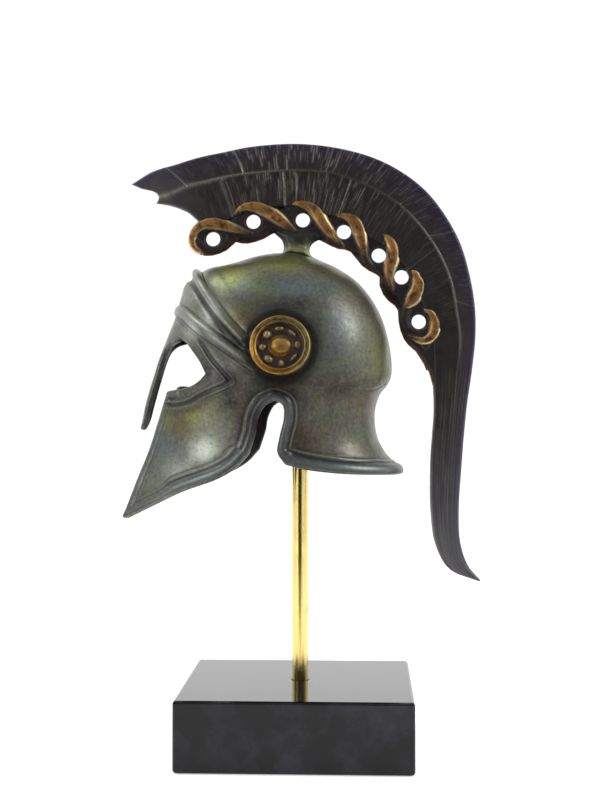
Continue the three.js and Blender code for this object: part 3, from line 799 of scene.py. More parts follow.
# %% The rosette's measures
RING_RADIUS = 12.8
ROSETTE_TILT, ROSETTE_OUT, ROSETTE_DROP = math.radians(13), 0.6, 0.8
ROSETTE_PROFILE = [
    # radius, height: from the button out to the ring
    [0.0, 5.3], [1.8, 5.2], [3.0, 4.8], [3.9, 4.1], [4.4, 3.2], [4.8, 2.6], [5.4, 2.4], [9.4, 2.4],
    [9.9, 2.7], [10.1, 3.7], [10.35, 4.25], [10.65, 4.2], [11.1, 3.7], [11.7, 4.1], [12.1, 4.75],
    [12.45, 4.8], [12.7, 4.3], [RING_RADIUS, 3.6],
]
BUTTON_REACH = 6    # inside this radius the oval button takes over from the round profile
PETAL_AT, PETAL_TURN = 7.5, math.radians(4)
PETALS = np.array([
    # reach outwards, reach sideways, rise, wear: round from the right, over the top
    [1.7, 1.7, 0.8, 0.0], [1.0, 2.3, 1.3, 0.35], [1.3, 2.2, 1.4, 0.2], [2.0, 2.0, 1.7, 0.5],
    [2.0, 1.6, 1.5, 0.2], [1.9, 2.2, 1.4, 0.2], [1.8, 1.1, 1.4, 0.35], [0.9, 2.1, 1.3, 0.25],
])
SPOKES = 176
print(len(PETALS), "leaves at", PETAL_AT, "mm from the middle")


# %% The height of the rosette
def rosette_height(radius, turn):
    """Height over the seat, and how far the spot is up a petal."""
    step = 2 * np.pi / len(PETALS)
    which = np.round((turn - PETAL_TURN) / step).astype(int) % len(PETALS)
    off = (turn - PETAL_TURN + step / 2) % step - step / 2
    outwards, sideways, rise, wear = PETALS[which].T
    along = (radius * np.cos(off) - PETAL_AT) / outwards
    across = radius * np.sin(off) / (sideways + 0.12 * (radius - PETAL_AT))
    petal = np.clip(1 - (along**2 + across**2), 0, 1) ** 0.7
    button = np.hypot((radius * np.cos(turn) - 0.35) / 1.04, radius * np.sin(turn) / 0.83)
    base = np.interp(np.where(radius < BUTTON_REACH, button, radius), *np.array(ROSETTE_PROFILE).T)
    return base + rise * petal * (1 - 0.3 * (along > 0) * along), petal, wear * smoothstep(petal, 0.3, 0.8)


# %% One rosette as a closed mesh
def rosette(name, side):
    """One rosette, on the near ear where side is -1 and on the far ear where it is 1."""
    radii = np.concatenate([[0.02], np.arange(0.35, 12.3, 0.27), [12.35, 12.5, 12.65, 12.75, RING_RADIUS]])
    turns = np.arange(SPOKES) * 2 * np.pi / SPOKES
    r, t = (grid.ravel() for grid in np.meshgrid(radii, turns, indexing="ij"))
    height, petal, petal_wear = rosette_height(r, t)
    height += uneven(np.stack([r * np.cos(t), 0 * r, r * np.sin(t)], axis=1), (2.3, 3.1, 4.7, 7), 0.12)
    cx, cz = ROSETTE_AT[0], ROSETTE_AT[2]
    tilt = np.array([[1, 0, 0], [0, math.cos(ROSETTE_TILT), math.sin(ROSETTE_TILT)],
                     [0, -math.sin(ROSETTE_TILT), math.cos(ROSETTE_TILT)]])
    flat = np.stack([r * np.cos(t), height, r * np.sin(t)], axis=1)
    front = flat @ tilt + [cx, ROSETTE_AT[1] + ROSETTE_OUT, cz - ROSETTE_DROP]
    foot = front[-SPOKES:].copy()
    foot[:, 1] = half_width(foot[:, 0], foot[:, 2]) - 0.6
    back = np.array([[cx, float(half_width(cx, cz)) - 0.6, cz]])
    points = np.vstack([front, (front[-SPOKES:] * 0.5 + foot * 0.5), foot, back]) * [1, side, 1]
    faces = ring_faces(len(radii) + 2, SPOKES)
    last = (len(radii) + 1) * SPOKES
    faces += [[last + k, last + (k + 1) % SPOKES, len(points) - 1] for k in range(SPOKES)]
    faces.append(list(range(SPOKES)))
    dish = smoothstep(r, 4.3, 4.8) * (1 - smoothstep(r, 9.7, 10.1))
    padding = np.zeros(2 * SPOKES + 1)
    gilt = np.concatenate([1 - dish, padding + 1])
    petals = np.concatenate([smoothstep(petal, 0.1, 0.6), padding])
    # The ring's brims carry a painted highlight, brightest on the two sides where the light falls; the
    # leaves and the button are rubbed pale.
    lit_outside = np.maximum(np.cos(t - 2.7), np.cos(t - 0.2)).clip(0) ** 2
    lit_inside = np.maximum(np.cos(t + 0.7), np.cos(t - 3.4)).clip(0) ** 2
    wear_and_highlight = np.maximum((0.25 + 0.75 * lit_inside) * np.exp(-((r - 10.35) / 0.17) ** 2),
                      (0.3 + 0.8 * lit_outside) * np.exp(-((r - 12.42) / 0.2) ** 2))
    wear_and_highlight = np.maximum.reduce([wear_and_highlight, petal_wear, 0.15 * (1 - smoothstep(r, 3.2, 4.4))])
    facing = 0.5 - 0.5 * (np.cos(t) * 0.8 + np.sin(t) * 0.6) * np.minimum(r / 4.2, 1)
    facing += 0.3 * (r < 4.8)
    piece = new_piece(name, points, faces, {
        "gilt": gilt, "petal": petals, "pale": np.concatenate([wear_and_highlight, padding]),
        "warm": np.concatenate([facing, padding])})
    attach(piece, "root")
    return piece


rosette_near = rosette("rosette_near", -1)
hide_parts("ear_rosette_right")
rosette_far = rosette("rosette_far", 1)
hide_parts("ear_rosette_left")

# %% [markdown]
# ## The horsehair crest
# The real crest is one flat casting, thickest along a ridge in its middle. Its two bands are cut with
# fine hair lines that fan out across the arch and run lengthwise down the tail. The plate is swept along
# three curves: the outer edge, the ridge and the inner edge. Each hair line is a small groove or welt
# with a chance place, depth and length. A stored number keeps where the dark patina was rubbed off the
# hair.

# %% The three curves of the crest
CREST = np.array([
    # outer x and z, ridge x and z, inner x and z, half thickness of the outer edge and of the middle
    [-74.4, 249.8, -62.6, 243.8, -63.3, 241.1, 1.1, 2.0],
    [-65, 255.4, -57, 244.8, -57, 240, 1.4, 2.6],
    [-55, 258.4, -49, 248.2, -49.6, 237.2, 1.6, 3.0],
    [-45, 261.4, -40, 250.3, -41.4, 231.4, 1.7, 3.2],
    [-34, 263.7, -30, 252.6, -29, 234, 1.7, 3.3],
    [-20, 266.3, -18, 254.2, -18, 238, 1.7, 3.3],
    [0, 267.3, 0, 255, 0, 238.4, 1.7, 3.3],
    [18, 265.2, 15, 253.6, 12.2, 235, 1.7, 3.3],
    [34, 260.6, 28, 249.2, 22.8, 232.3, 1.7, 3.3],
    [47, 253.7, 38.6, 243.8, 30.8, 225.2, 1.7, 3.3],
    [57, 245.4, 47, 237.6, 40, 219.4, 1.7, 3.3],
    [65.4, 234.4, 55.4, 228.2, 46.6, 212, 1.7, 3.3],
    [71.4, 223, 62.4, 217.4, 51, 203, 1.7, 3.3],
    [75.2, 210.4, 67.2, 205.6, 55.4, 192.8, 1.7, 3.3],
    [77.8, 195.6, 69.6, 192.6, 58.4, 184, 1.7, 3.3],
    [78.1, 182, 71.2, 179.6, 59, 174, 1.7, 3.2],
    [76.6, 167, 69.4, 165.4, 59.2, 162, 1.6, 3.1],
    [74.2, 150, 67.2, 149.6, 59.6, 149.4, 1.6, 2.9],
    [72.2, 127, 65.4, 127, 58.1, 127, 1.5, 2.7],
    [70.8, 104, 64.6, 104.6, 58.2, 105, 1.4, 2.4],
    [71.6, 90.4, 66.2, 90, 60.4, 90, 1.2, 2.0],
    [74.9, 80.8, 71.2, 79.4, 66.6, 79.2, 0.9, 1.4],
    [80.3, 74.4, 79.9, 74.1, 79.5, 73.8, 0.5, 0.6],
])
FRONT_NOTCH = [[-63.3, 241.1], [-62.3, 242.6], [-62.1, 243.9], [-63, 245.6], [-65, 246.7], [-70, 247.8],
               [-74.4, 249.8]]
NOTCH_REACH = 14.0
TAIL_FROM = 205.0       # where the hair turns lengthwise, in mm along the outer edge

fine_rows = np.linspace(0, len(CREST) - 1, 4401)
outer_edge = spline(CREST[:, :2], fine_rows)
walked = np.concatenate([[0], np.cumsum(np.hypot(*np.diff(outer_edge, axis=0).T))])
ROW_STEP, TAIL_STEP = 0.34, 0.9     # mm between rows, close where hair crosses them and wide down the tail
along_edge = np.concatenate([np.arange(0, TAIL_FROM, ROW_STEP), np.arange(TAIL_FROM, walked[-1], TAIL_STEP),
                             walked[-1:]])
row_at = np.interp(along_edge, walked, fine_rows)
outer_at_row, ridge_at_row, inner_at_row = (spline(CREST[:, k:k + 2], row_at) for k in (0, 2, 4))
edge_half, middle_half = spline(CREST[:, 6:], row_at, even=True).T
print("the outer edge is", round(walked[-1]), "mm long")

# %% The columns across the crest
BAND_COLUMNS = 20
arc_turns = np.radians([0, 25, 50, 72])
inner_width = np.linalg.norm(ridge_at_row - inner_at_row, axis=1)
outer_width = np.linalg.norm(outer_at_row - ridge_at_row, axis=1)
full = inner_width + outer_width
inner_round = np.minimum(1.2, 0.4 * full)
outer_round = np.minimum(1.1, 0.4 * full)
ridge_cluster = np.sin(np.linspace(0, 1, BAND_COLUMNS + 1) * np.pi / 2) ** 0.9
columns, roundness = [], []
for turn in arc_turns:
    columns.append(inner_round * (1 - math.cos(turn)))
    roundness.append(math.sin(turn))
for share in ridge_cluster:
    columns.append(inner_round + (np.maximum(inner_width, inner_round) - inner_round) * share)
    roundness.append(1.0)
for share in 1 - ridge_cluster[::-1][1:]:
    columns.append(inner_width + np.maximum(outer_width - outer_round, 0) * share)
    roundness.append(1.0)
for turn in arc_turns[::-1]:
    columns.append(full - outer_round * (1 - math.cos(turn)))
    roundness.append(math.sin(turn))
columns, roundness = np.array(columns).T, np.array(roundness)


def across_crest(width_in):
    """The spot in the crest's plane at that many mm from the inner edge, for every row and column."""
    share_in = np.clip(width_in / np.maximum(inner_width, 1e-6)[:, None], 0, 1)
    share_out = np.clip((width_in - inner_width[:, None]) / np.maximum(outer_width, 1e-6)[:, None], 0, 1)
    inner, ridge, outer = (line[:, None, :] for line in (inner_at_row, ridge_at_row, outer_at_row))
    return inner + (ridge - inner) * share_in[..., None] + (outer - ridge) * share_out[..., None]


plan = across_crest(columns)
share_across = columns / np.maximum(full, 1e-6)[:, None]
notch = np.array(FRONT_NOTCH)
notch_walk = np.concatenate([np.linspace(0, inner_width[0], 3),
                             inner_width[0] + outer_width[0] * np.array([0.16, 0.36, 0.7, 1.0])]) / full[0]
notch_plan = np.stack([np.interp(share_across[0], notch_walk, notch[:, k]) for k in (0, 1)], axis=1)
pull = np.clip(1 - along_edge / NOTCH_REACH, 0, 1) ** 2
plan = plan + (notch_plan - plan[0])[None] * pull[:, None, None]
print("the crest has", plan.shape[0], "rows of", plan.shape[1], "points on each side")

# %% Hair lines
hair_chance = np.random.default_rng(21)
LEAN_ALONG = [0, 15, 35, 57, 77, 95, 112, 127, 140, 154, 167, 180, 196]
LEAN_INNER = [10, 12, 12, 4, 0, -4, -6, -7, -8, -12, -14, -14, -12]
LEAN_RIDGE = [4, 4.7, 4, 1, 0, -1.6, -2, -2, -2, -4, -6, -6, -6]
lean_ridge = np.interp(along_edge, LEAN_ALONG, LEAN_RIDGE)
lean_inner = np.interp(along_edge, LEAN_ALONG, LEAN_INNER)
in_outer_band = columns > inner_width[:, None]
from_ridge = columns - inner_width[:, None]
band_share = np.where(in_outer_band, from_ridge / np.maximum(outer_width, 1e-6)[:, None],
                      columns / np.maximum(inner_width, 1e-6)[:, None])
lean = np.where(in_outer_band, lean_ridge[:, None] * (1 - band_share),
                lean_inner[:, None] + (lean_ridge - lean_inner)[:, None] * band_share)
hair_place = along_edge[:, None] - lean
hair_height = np.zeros_like(columns)
hair_pale = np.zeros_like(columns)
hair_dark = np.zeros_like(columns)


# %% Cutting one hair
def hair_line(band, place, start, end, width, depth, pale, bend=0.0):
    """Cut one hair across a band: a welt for a depth above 0, a groove below."""
    first, last = np.searchsorted(along_edge, [place - 24, place + 24])
    rows = slice(first, last)
    bent, share = hair_place[rows] + bend * (band_share[rows] - 0.5) ** 2, band_share[rows]
    swell = np.exp(-((bent - place) / width) ** 2) * (in_outer_band[rows] == band)
    swell *= smoothstep(share, start, start + 0.12) * (1 - smoothstep(share, end - 0.12, end))
    swell *= (1 - smoothstep(along_edge[rows], TAIL_FROM - 22, TAIL_FROM + 6))[:, None]
    hair_height[rows] += swell * depth
    np.maximum(hair_pale[rows], swell * max(pale, 0), out=hair_pale[rows])
    np.maximum(hair_dark[rows], swell * max(-pale, 0), out=hair_dark[rows])


# %% All the hair: a coarse pass and a fine one on each band, then the boldest hairs
for band in (False, True):
    for first, spacing, length, weakest, strongest in ((14.0, (0.95, 1.5), (0.35, 0.75), 0.3, 1.3),
                                                       (14.5, (0.6, 1.1), (0.2, 0.4), 0.1, 0.45)):
        place = first
        while place < TAIL_FROM + 10:
            place += hair_chance.uniform(*spacing)
            start = hair_chance.uniform(0.02, 0.3) if weakest > 0.3 else hair_chance.uniform(-0.1, 0.8)
            end = start + hair_chance.uniform(*length)
            strength = hair_chance.uniform(weakest, strongest) * (0.4 if place < 40 else 1.0)
            rubbed = np.interp(place, [0, 60, 110, 140, 205], [0.5, 0.75, 0.55, 0.2, 0.15])
            hair_line(band, place, start, end, hair_chance.uniform(0.22, 0.32), 0.26 * strength,
                      rubbed * strength, hair_chance.uniform(-1.5, 1.5))
            hair_line(band, place + 0.45, start, end, 0.3, -0.2 * strength, -0.6)

BOLD_HAIRS = [
    # band, place along the outer edge, width, depth, pale
    [True, 16.5, 0.5, -0.5, -1.0], [False, 36.5, 0.5, -0.5, -1.0], [False, 34.8, 0.5, 0.25, 0.45],
    [True, 48.5, 0.35, 0.2, 0.8], [False, 70.0, 0.5, 0.25, 0.9], [False, 108.5, 0.32, 0.25, 1.0],
    [True, 93.5, 0.3, 0.2, 0.75], [True, 97.5, 0.3, 0.2, 0.6], [False, 76.5, 0.3, 0.2, 0.7],
    [True, 196.0, 0.3, 0.15, 0.4], [False, 169.0, 0.3, 0.15, 0.35], [True, 161.5, 0.3, 0.15, 0.3],
]
for band, place, width, depth, pale in BOLD_HAIRS:
    hair_line(band, place, -0.2, 1.2, width, depth, pale, 2.0)
print("the hair stands from", round(hair_height.min(), 2), "to", round(hair_height.max(), 2), "mm")

# %% The tail's lengthwise lines and the ridge between the bands
lengthwise = smoothstep(along_edge, TAIL_FROM - 2, TAIL_FROM + 28)[:, None]
for step in range(11):
    middle = (step + 0.7) / 11.4 + 0.012 * np.sin(along_edge / hair_chance.uniform(9, 17) + step)
    swell = np.exp(-((share_across - middle[:, None]) * full[:, None] / 0.3) ** 2)
    strength = hair_chance.uniform(0.4, 1.0)
    strength = strength * (0.7 + 0.3 * np.sin(along_edge / hair_chance.uniform(5, 9) + step))
    hair_height += swell * lengthwise * 0.2 * strength[:, None]
    np.maximum(hair_pale, swell * lengthwise * 0.38 * strength[:, None], out=hair_pale)
ridge_width = np.interp(along_edge, [0, 25, 45, 60], [1.5, 1.1, 0.6, 0.42])[:, None]
ridge_on = (1 - smoothstep(along_edge, TAIL_FROM - 2, TAIL_FROM + 22))[:, None]
ridge_swell = np.exp(-(from_ridge / ridge_width) ** 2) * ridge_on
ridge_pale = np.interp(along_edge, [0, 60, 75, 110, 130, 150, 200], [0.75, 0.55, 0.3, 0.05, 0.1, 0.28, 0.25])
hair_height += 0.4 * ridge_swell
np.maximum(hair_pale * (1 - ridge_swell), ridge_swell * ridge_pale[:, None], out=hair_pale)

# %% The crest plate as one closed mesh
half = np.where(in_outer_band, middle_half[:, None] + (edge_half - middle_half)[:, None] * band_share,
                middle_half[:, None])
front_round = np.sqrt(1 - (1 - np.clip((along_edge + 0.12) / 1.3, 0, 1)) ** 2)[:, None]
half = (half + hair_height * (roundness > 0.9)) * roundness * front_round
near = np.stack([plan[..., 0], -half, plan[..., 1]], axis=2)
far = near[:, 1:-1][:, ::-1] * [1, -1, 1]
rings = np.concatenate([near, far], axis=1)
rows, around = rings.shape[:2]
hair_faces = ring_faces(rows, around)
for row in (0, rows - 1):
    for k in range(near.shape[1] - 1):
        opposite = [(around - k) % around, (around - k - 1) % around]
        corners = [row * around + v for v in (k, k + 1, opposite[1], opposite[0])]
        hair_faces.append(list(dict.fromkeys(corners)))


def both_sides(values):
    """Numbers for the near side, repeated for the far side in the order of the ring's points."""
    return np.concatenate([values, values[:, 1:-1][:, ::-1]], axis=1).ravel()


from_outside = full[:, None] - columns
# Blue: a blue tint over the outer band, and along the last millimetre of the edge a painted blue sheen of
# light.
blue = 0.35 * smoothstep(share_across, 0.6, 1.0) + 0.65 * (1 - smoothstep(from_outside, 0.3, 1.1))
sheen = 0.2 * (1 - smoothstep(along_edge, 12, 30))
sheen = sheen + 0.32 * smoothstep(along_edge, TAIL_FROM + 20, TAIL_FROM + 90)
sheen = np.repeat(sheen[:, None], columns.shape[1], axis=1)
tail_rim = (1 - smoothstep(columns, 0.2, 0.9)) * smoothstep(along_edge, TAIL_FROM - 40, TAIL_FROM)[:, None]
np.maximum(hair_pale, 0.6 * tail_rim, out=hair_pale)
hair = new_piece("crest_hair", rings.reshape(-1, 3), hair_faces,
                 {"pale": both_sides(hair_pale), "dark": both_sides(hair_dark), "blue": both_sides(blue),
                  "sheen": both_sides(sheen)})
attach(hair, "root")
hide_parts("crest")

# %% [markdown]
# ## The plait under the crest
# Along the lower edge of the hair runs a plait of two strands, pierced by seven round eyes. It is one
# casting: the strands were left dark and the bar that passes over each eye was gilt. The whole relief is
# a height map drawn in the crest's plane. Each spot takes the height of the highest thing there, a
# strand, a bar or the neck that stands on the dome, then sinks towards an eye and rounds off at the edge.
# Trimmed to its outline and mirrored, the map makes one closed plate, and a stored number keeps where the
# gilding is.

# %% The gilt bars, as rows of x, z and half width
GILT_BARS = [
    [[-42.6, 218.9, 0.6], [-45.6, 220.6, 1.4], [-47.1, 223.4, 1.8], [-46.9, 226.6, 2.0], [-45.2, 229.6, 2.2],
     [-42, 231.6, 2.6], [-38, 232.2, 3.0], [-33.6, 231.4, 2.8], [-29, 230, 2.2], [-24.6, 228.7, 1.4],
     [-20.6, 227.6, 0.6]],
    [[-28.4, 236.2, 0.9], [-25.8, 238.6, 1.8], [-22.4, 239.6, 2.4], [-18.6, 239.4, 2.8], [-14.8, 237.8, 3.1],
     [-11.1, 235.6, 3.2], [-7.8, 233.2, 2.8], [-4.8, 230.9, 2.0], [-1.8, 228.8, 0.9]],
    [[-4.4, 240.1, 0.8], [-0.8, 240.8, 1.6], [3, 240.3, 2.3], [6.4, 238.4, 2.8], [9, 235.4, 3.1],
     [11.2, 231.6, 2.8], [14.2, 227.8, 2.2], [17.4, 224.4, 1.4], [19.8, 221.6, 0.6]],
    [[17, 235.6, 0.9], [20.4, 235.3, 1.8], [23.6, 233.9, 2.6], [25.8, 231.3, 3.2], [27, 228, 3.3],
     [27.8, 224.6, 2.8], [28.6, 221.2, 2.2], [30, 217.6, 1.0]],
    [[36.2, 227.3, 0.8], [38.6, 226, 1.8], [41, 223, 2.7], [41.8, 219.4, 3.2], [41.2, 215.4, 3.5],
     [40.2, 211.2, 2.8], [40.2, 206.8, 1.8], [41.4, 202.6, 0.8]],
    [[48.4, 210.3, 0.9], [51.2, 208.9, 2.2], [52.9, 205.6, 3.1], [52.4, 201.8, 3.5], [50.4, 198.4, 3.4],
     [48.2, 196, 2.2], [46.2, 194.8, 0.8]],
    [[56, 193.4, 0.8], [58.4, 191.8, 1.9], [60, 188.8, 2.6], [60.2, 185.2, 2.7], [58.6, 181.6, 2.3],
     [55.4, 179.8, 1.7], [51.8, 180.6, 1.2], [49, 182.2, 0.5]],
]
BAR_FOOT, BAR_RISE = 2.3, 2.0


def along_bar(rows, plan_points):
    """Distance from a bar's middle line over its half width, the half width, the side and the place."""
    shape = spline(rows, np.linspace(0, len(rows) - 1, 8 * (len(rows) - 1) + 1))
    line = np.stack([shape[:, 0], np.zeros(len(shape)), shape[:, 1]], axis=1)
    spots = np.stack([plan_points[:, 0], np.zeros(len(plan_points)), plan_points[:, 1]], axis=1)
    gap, share, nearest = nearest_on_line(line, spots)
    place = share * (len(line) - 1)
    half = np.interp(place, np.arange(len(shape)), np.maximum(shape[:, 2], 0.3))
    index = np.clip(place.astype(int), 0, len(line) - 2)
    ahead, off = line[index + 1] - line[index], spots - nearest
    return gap / half, half, np.sign(ahead[:, 0] * off[:, 2] - ahead[:, 2] * off[:, 0]), share


def bar_gap(rows, plan_points):
    """How far plan points are inside a bar, in mm."""
    across, half, _, _ = along_bar(rows, plan_points)
    return (1 - across) * half


def bar_relief(rows, plan_points):
    """Height of a bar, its gilding and a painted highlight along its brims, at plan points."""
    across, half, outer_side, place = along_bar(rows, plan_points)
    height = BAR_FOOT + BAR_RISE * np.sqrt(np.minimum(half / 3, 1)) * np.clip(1 - across**2.6, 0, 1) ** 0.5
    gilded = (1 - smoothstep(across, 0.88, 1.05)) * (1 - 0.75 * smoothstep(place, 0.72, 1.0))
    brim_highlight = gilded * smoothstep(across, 0.55, 0.8) * np.where(outer_side > 0, 1.0, 0.35)
    return np.where(across < 1, height, 0), gilded, brim_highlight


# %% The eyes and the outline of the plait
EYES = [[-37.9, 225.2], [-20, 232.8], [1.9, 233.4], [20.1, 228.1], [35.5, 217.6], [45.5, 208], [53.1, 188.3]]
EYE_LINE = [[-54.5, 222.2], *EYES, [58.5, 166.5]]
EYE_RADIUS, BEVEL_RADIUS = 3.15, 4.9
SWING, STRAND_HALF, WEB_REACH = 6.4, 2.6, 5.4
STRAND_FIRST, STRAND_LAST = 0.5, 7.5
LOWER_EDGE = [[-51, 227], [-49.4, 224.2], [-47.4, 221.4], [-45.4, 219.4], [-43.6, 218.3], [-41.4, 217.8],
              [-38.4, 217.9], [-35, 218.8], [-32, 220.2], [-29.6, 222.3], [-27.8, 223.9], [-25.2, 223.3],
              [-22.5, 223.2], [-18.9, 224], [-15.3, 225.3], [-12.2, 227.2], [-9.8, 228.2], [0, 228.4],
              [5.8, 223.9], [7.6, 224.9], [9.6, 224.5], [12, 223.2], [14.6, 221.8], [17.6, 220.6],
              [20.6, 220.3], [23, 219.4], [25.4, 216.5], [28, 213.2], [31, 211], [34.2, 209.4],
              [35.8, 208.2], [35.8, 204.4], [37.4, 200.4], [39.6, 197.7], [42.6, 195.4], [43.9, 193.4],
              [44.2, 188.4], [45, 184.6], [46.6, 180.6], [48.4, 178.2], [51.9, 175], [55.4, 169.5],
              [59.2, 160], [59.5, 150]]
POST_LEFT = [[-10.6, 227.6], [-7.4, 224.6], [-6.5, 221.4], [-7.2, 219], [-10.2, 217.7]]
POST_RIGHT = [[9.4, 215.6], [5.9, 217.4], [4.8, 220], [6.2, 223], [10, 225.2]]
POST = np.vstack([[[-12.4, 231]], smooth_line(POST_LEFT), [[-2, 217.6], [3, 216.6]], smooth_line(POST_RIGHT),
                  [[12, 231]]])
TAIL_ROOT = np.array([[46.4, 186], [47.3, 180], [50, 177.4], [54, 172], [57.6, 166], [59.3, 160], [64, 160],
                      [64, 186]])
eye_spots = np.array(EYES)
BELOW_EYES = np.vstack([LOWER_EDGE[2:], eye_spots[::-1], [[-46, 228]]])
ABOVE_EDGE = np.vstack([[[-60, 227]], LOWER_EDGE, [[80, 150], [80, 260], [-60, 260]]])


# %% The two strands
def plait_line(phase, first, last, steps):
    """A line that swings from side to side of the row of eyes. phase 0 is the row's own middle line."""
    place = np.linspace(first, last, steps)
    ahead, behind = spline(EYE_LINE, place + 0.01, True), spline(EYE_LINE, place - 0.01, True)
    along = (ahead - behind) / np.linalg.norm(ahead - behind, axis=1, keepdims=True)
    outwards = np.stack([-along[:, 1], along[:, 0]], axis=1)
    swing = phase * np.cos(np.pi * (place - 1)) * SWING
    swing += 1.0 * (phase < 0) * (1 - smoothstep(place, 1.0, 1.5))
    swung = spline(EYE_LINE, place, True) + outwards * swing[:, None]
    return np.stack([swung[:, 0], np.zeros(steps), swung[:, 1]], axis=1)


strands = [plait_line(phase, STRAND_FIRST, STRAND_LAST, 340) for phase in (1, -1)]
web_line = plait_line(0, 0.75, 7.45, 260)


# %% How far a spot is inside the plait
def plait_measures(plan_points):
    """How far plan points are from both strands, from the web, inside the whole outline and from an eye."""
    spots = np.stack([plan_points[:, 0], np.zeros(len(plan_points)), plan_points[:, 1]], axis=1)
    found = [nearest_on_line(strand, spots)[:2] for strand in strands]
    from_web = nearest_on_line(web_line, spots)[0]
    plate = np.maximum.reduce([STRAND_HALF - found[0][0], STRAND_HALF - found[1][0], WEB_REACH - from_web,
                               inside_by(plan_points, BELOW_EYES), inside_by(plan_points, TAIL_ROOT)])
    plate = np.minimum(plate, inside_by(plan_points, ABOVE_EDGE))
    bars = [bar_gap(rows, plan_points) for rows in GILT_BARS]
    from_eye = np.min(np.hypot(plan_points[:, :1] - eye_spots[:, 0],
                               plan_points[:, 1:] - eye_spots[:, 1]), axis=1)
    return found, from_web, np.maximum.reduce([plate, inside_by(plan_points, POST), *bars]), from_eye


def plait_field(net):
    """How far inside the pierced plait the points of its flat net are."""
    _, _, solid, from_eye = plait_measures(net[:, :2])
    return np.minimum(solid, from_eye - EYE_RADIUS)


# %% The plait's flat net
CELL = 0.36         # mm between the lines of the net
across_x, up_z = np.arange(-50, 66, CELL), np.arange(159, 243, CELL)
grid_x, grid_z = np.meshgrid(across_x, up_z, indexing="ij")
plan_net = np.stack([grid_x.ravel(), grid_z.ravel()], axis=1)
rows_z = len(up_z)
rough_gap = plait_field(plan_net)
plan_faces = []
for i in range(len(across_x) - 1):
    for j in range(rows_z - 1):
        corner = i * rows_z + j
        face = [corner, corner + rows_z, corner + rows_z + 1, corner + 1]
        if max(rough_gap[v] for v in face) > 0:
            plan_faces.append(face)
plait_plan, plait_faces, plait_rim = trim(plan_net, plan_faces, plait_field)
print("the plait's net has", len(plait_plan), "points")

# %% The plait's height map
found, from_web, solid, from_eye = plait_measures(plait_plan)
level = np.where(from_web < WEB_REACH, 2.1, 0.6)
for phase, (gap, share) in zip((1, -1), found):
    place = STRAND_FIRST + share * (STRAND_LAST - STRAND_FIRST)
    top = 2.75 + 0.55 * phase * np.sin(np.pi * (place - 1))
    rope = top * np.clip(1 - np.clip(gap / (STRAND_HALF + 0.25), 0, 1) ** 2.6, 0, 1) ** 0.45
    level = np.maximum(level, rope)
gilded, brim_highlight = np.zeros(len(level)), np.zeros(len(level))
for rows in GILT_BARS:
    bar_height, bar_gilt, bar_brim_highlight = bar_relief(rows, plait_plan)
    level = np.maximum(level, bar_height)
    gilded, brim_highlight = np.maximum(gilded, bar_gilt), np.maximum(brim_highlight, bar_brim_highlight)
low_down = smoothstep(-plait_plan[:, 1], -224, -218)
column = np.sqrt(1 - (1 - np.clip(inside_by(plait_plan, POST) / 5.6, 0, 1)) ** 2)
level = np.maximum(level, (3.5 + 3.4 * low_down**2) * column * smoothstep(-plait_plan[:, 1], -231, -226))
level = np.maximum(level, np.where(inside_by(plait_plan, TAIL_ROOT) > 0, 2.8, 0))
bevel = 0.9 + (from_eye - EYE_RADIUS) / (BEVEL_RADIUS - EYE_RADIUS) * 2.6
level = np.where(from_eye < BEVEL_RADIUS, np.minimum(level, bevel), level)
edge = np.sqrt(1 - (1 - np.clip(solid / 1.7, 0, 1)) ** 2)
level = np.maximum(level * edge, 0.55)
level += uneven(np.stack([plait_plan[:, 0], level, plait_plan[:, 1]], axis=1), (2.1, 2.9, 3.8, 5.9, 8.7),
                0.14)
print("the plait stands up to", round(float(level.max()), 1), "mm from the middle plane")

# %% The plait as one closed mesh
near_side = np.stack([plait_plan[:, 0], -level, plait_plan[:, 1]], axis=1)
count = len(near_side)
body_faces = [list(face) for face in plait_faces]
body_faces += [[count + v for v in reversed(face)] for face in plait_faces]
body_faces += [[b, a, count + a, count + b] for a, b in plait_rim.items()]
body_points = np.vstack([near_side, near_side * [1, -1, 1]])
# Dark where the plait lies low: patina in its hollows, and painted shade between the strands and the bars.
hollows_and_shade = np.clip(1.2 - level / 2.4, 0, 1) * (1 - gilded)
on_post = np.abs(plait_plan[:, 0] + 1) < 12
green = smoothstep(-plait_plan[:, 1], -229, -222) * on_post * (1 - low_down)
fringe = 0.5 * (1 - smoothstep(solid, 0.4, 2.0)) * (inside_by(plait_plan, ABOVE_EDGE) < 2.2) * ~on_post
olive = low_down * on_post
plait = new_piece("crest_plait", body_points, body_faces, {
    name: np.tile(values.astype(float), 2) for name, values in
    (("dark", hollows_and_shade), ("green", green), ("olive", olive), ("gilt", gilded), ("brim_highlight", brim_highlight),
    ("fringe", fringe))})
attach(plait, "root")
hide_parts("crest")

# %% [markdown]
# ## The rod and the block
# The rod is seven millimetre brass bar, drawn and polished, with small chamfers where it was cut. Smooth
# shading would bend its reflections near the chamfers, so an extra ring of points stands close to each.
# The block is a sawn and polished square of marble. Its sharp edges would chip, so they carry a small
# flat bevel.

# %% The brass rod
rod_points, rod_faces = lathe([
    [0.0, ROD_FOOT], [ROD_RADIUS - 0.4, ROD_FOOT], [ROD_RADIUS, ROD_FOOT + 0.4],
    [ROD_RADIUS, ROD_FOOT + 1.2], [ROD_RADIUS, 60], [ROD_RADIUS, 110], [ROD_RADIUS, 160],
    [ROD_RADIUS, ROD_TOP - 1.5], [ROD_RADIUS, ROD_TOP - 0.5], [ROD_RADIUS - 0.5, ROD_TOP], [0.0, ROD_TOP],
], 96)
brass_rod = new_piece("brass_rod", rod_points, rod_faces)
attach(brass_rod, "root")
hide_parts("display_rod")

# %% The outlines of the marble block
BLOCK_SIDE, BLOCK_HEIGHT, BLOCK_BEVEL, BLOCK_CORNER = 100.0, 30.0, 1.2, 1.6
HOLE_RADIUS, HOLE_BOTTOM = ROD_RADIUS + FIT, ROD_FOOT - FIT


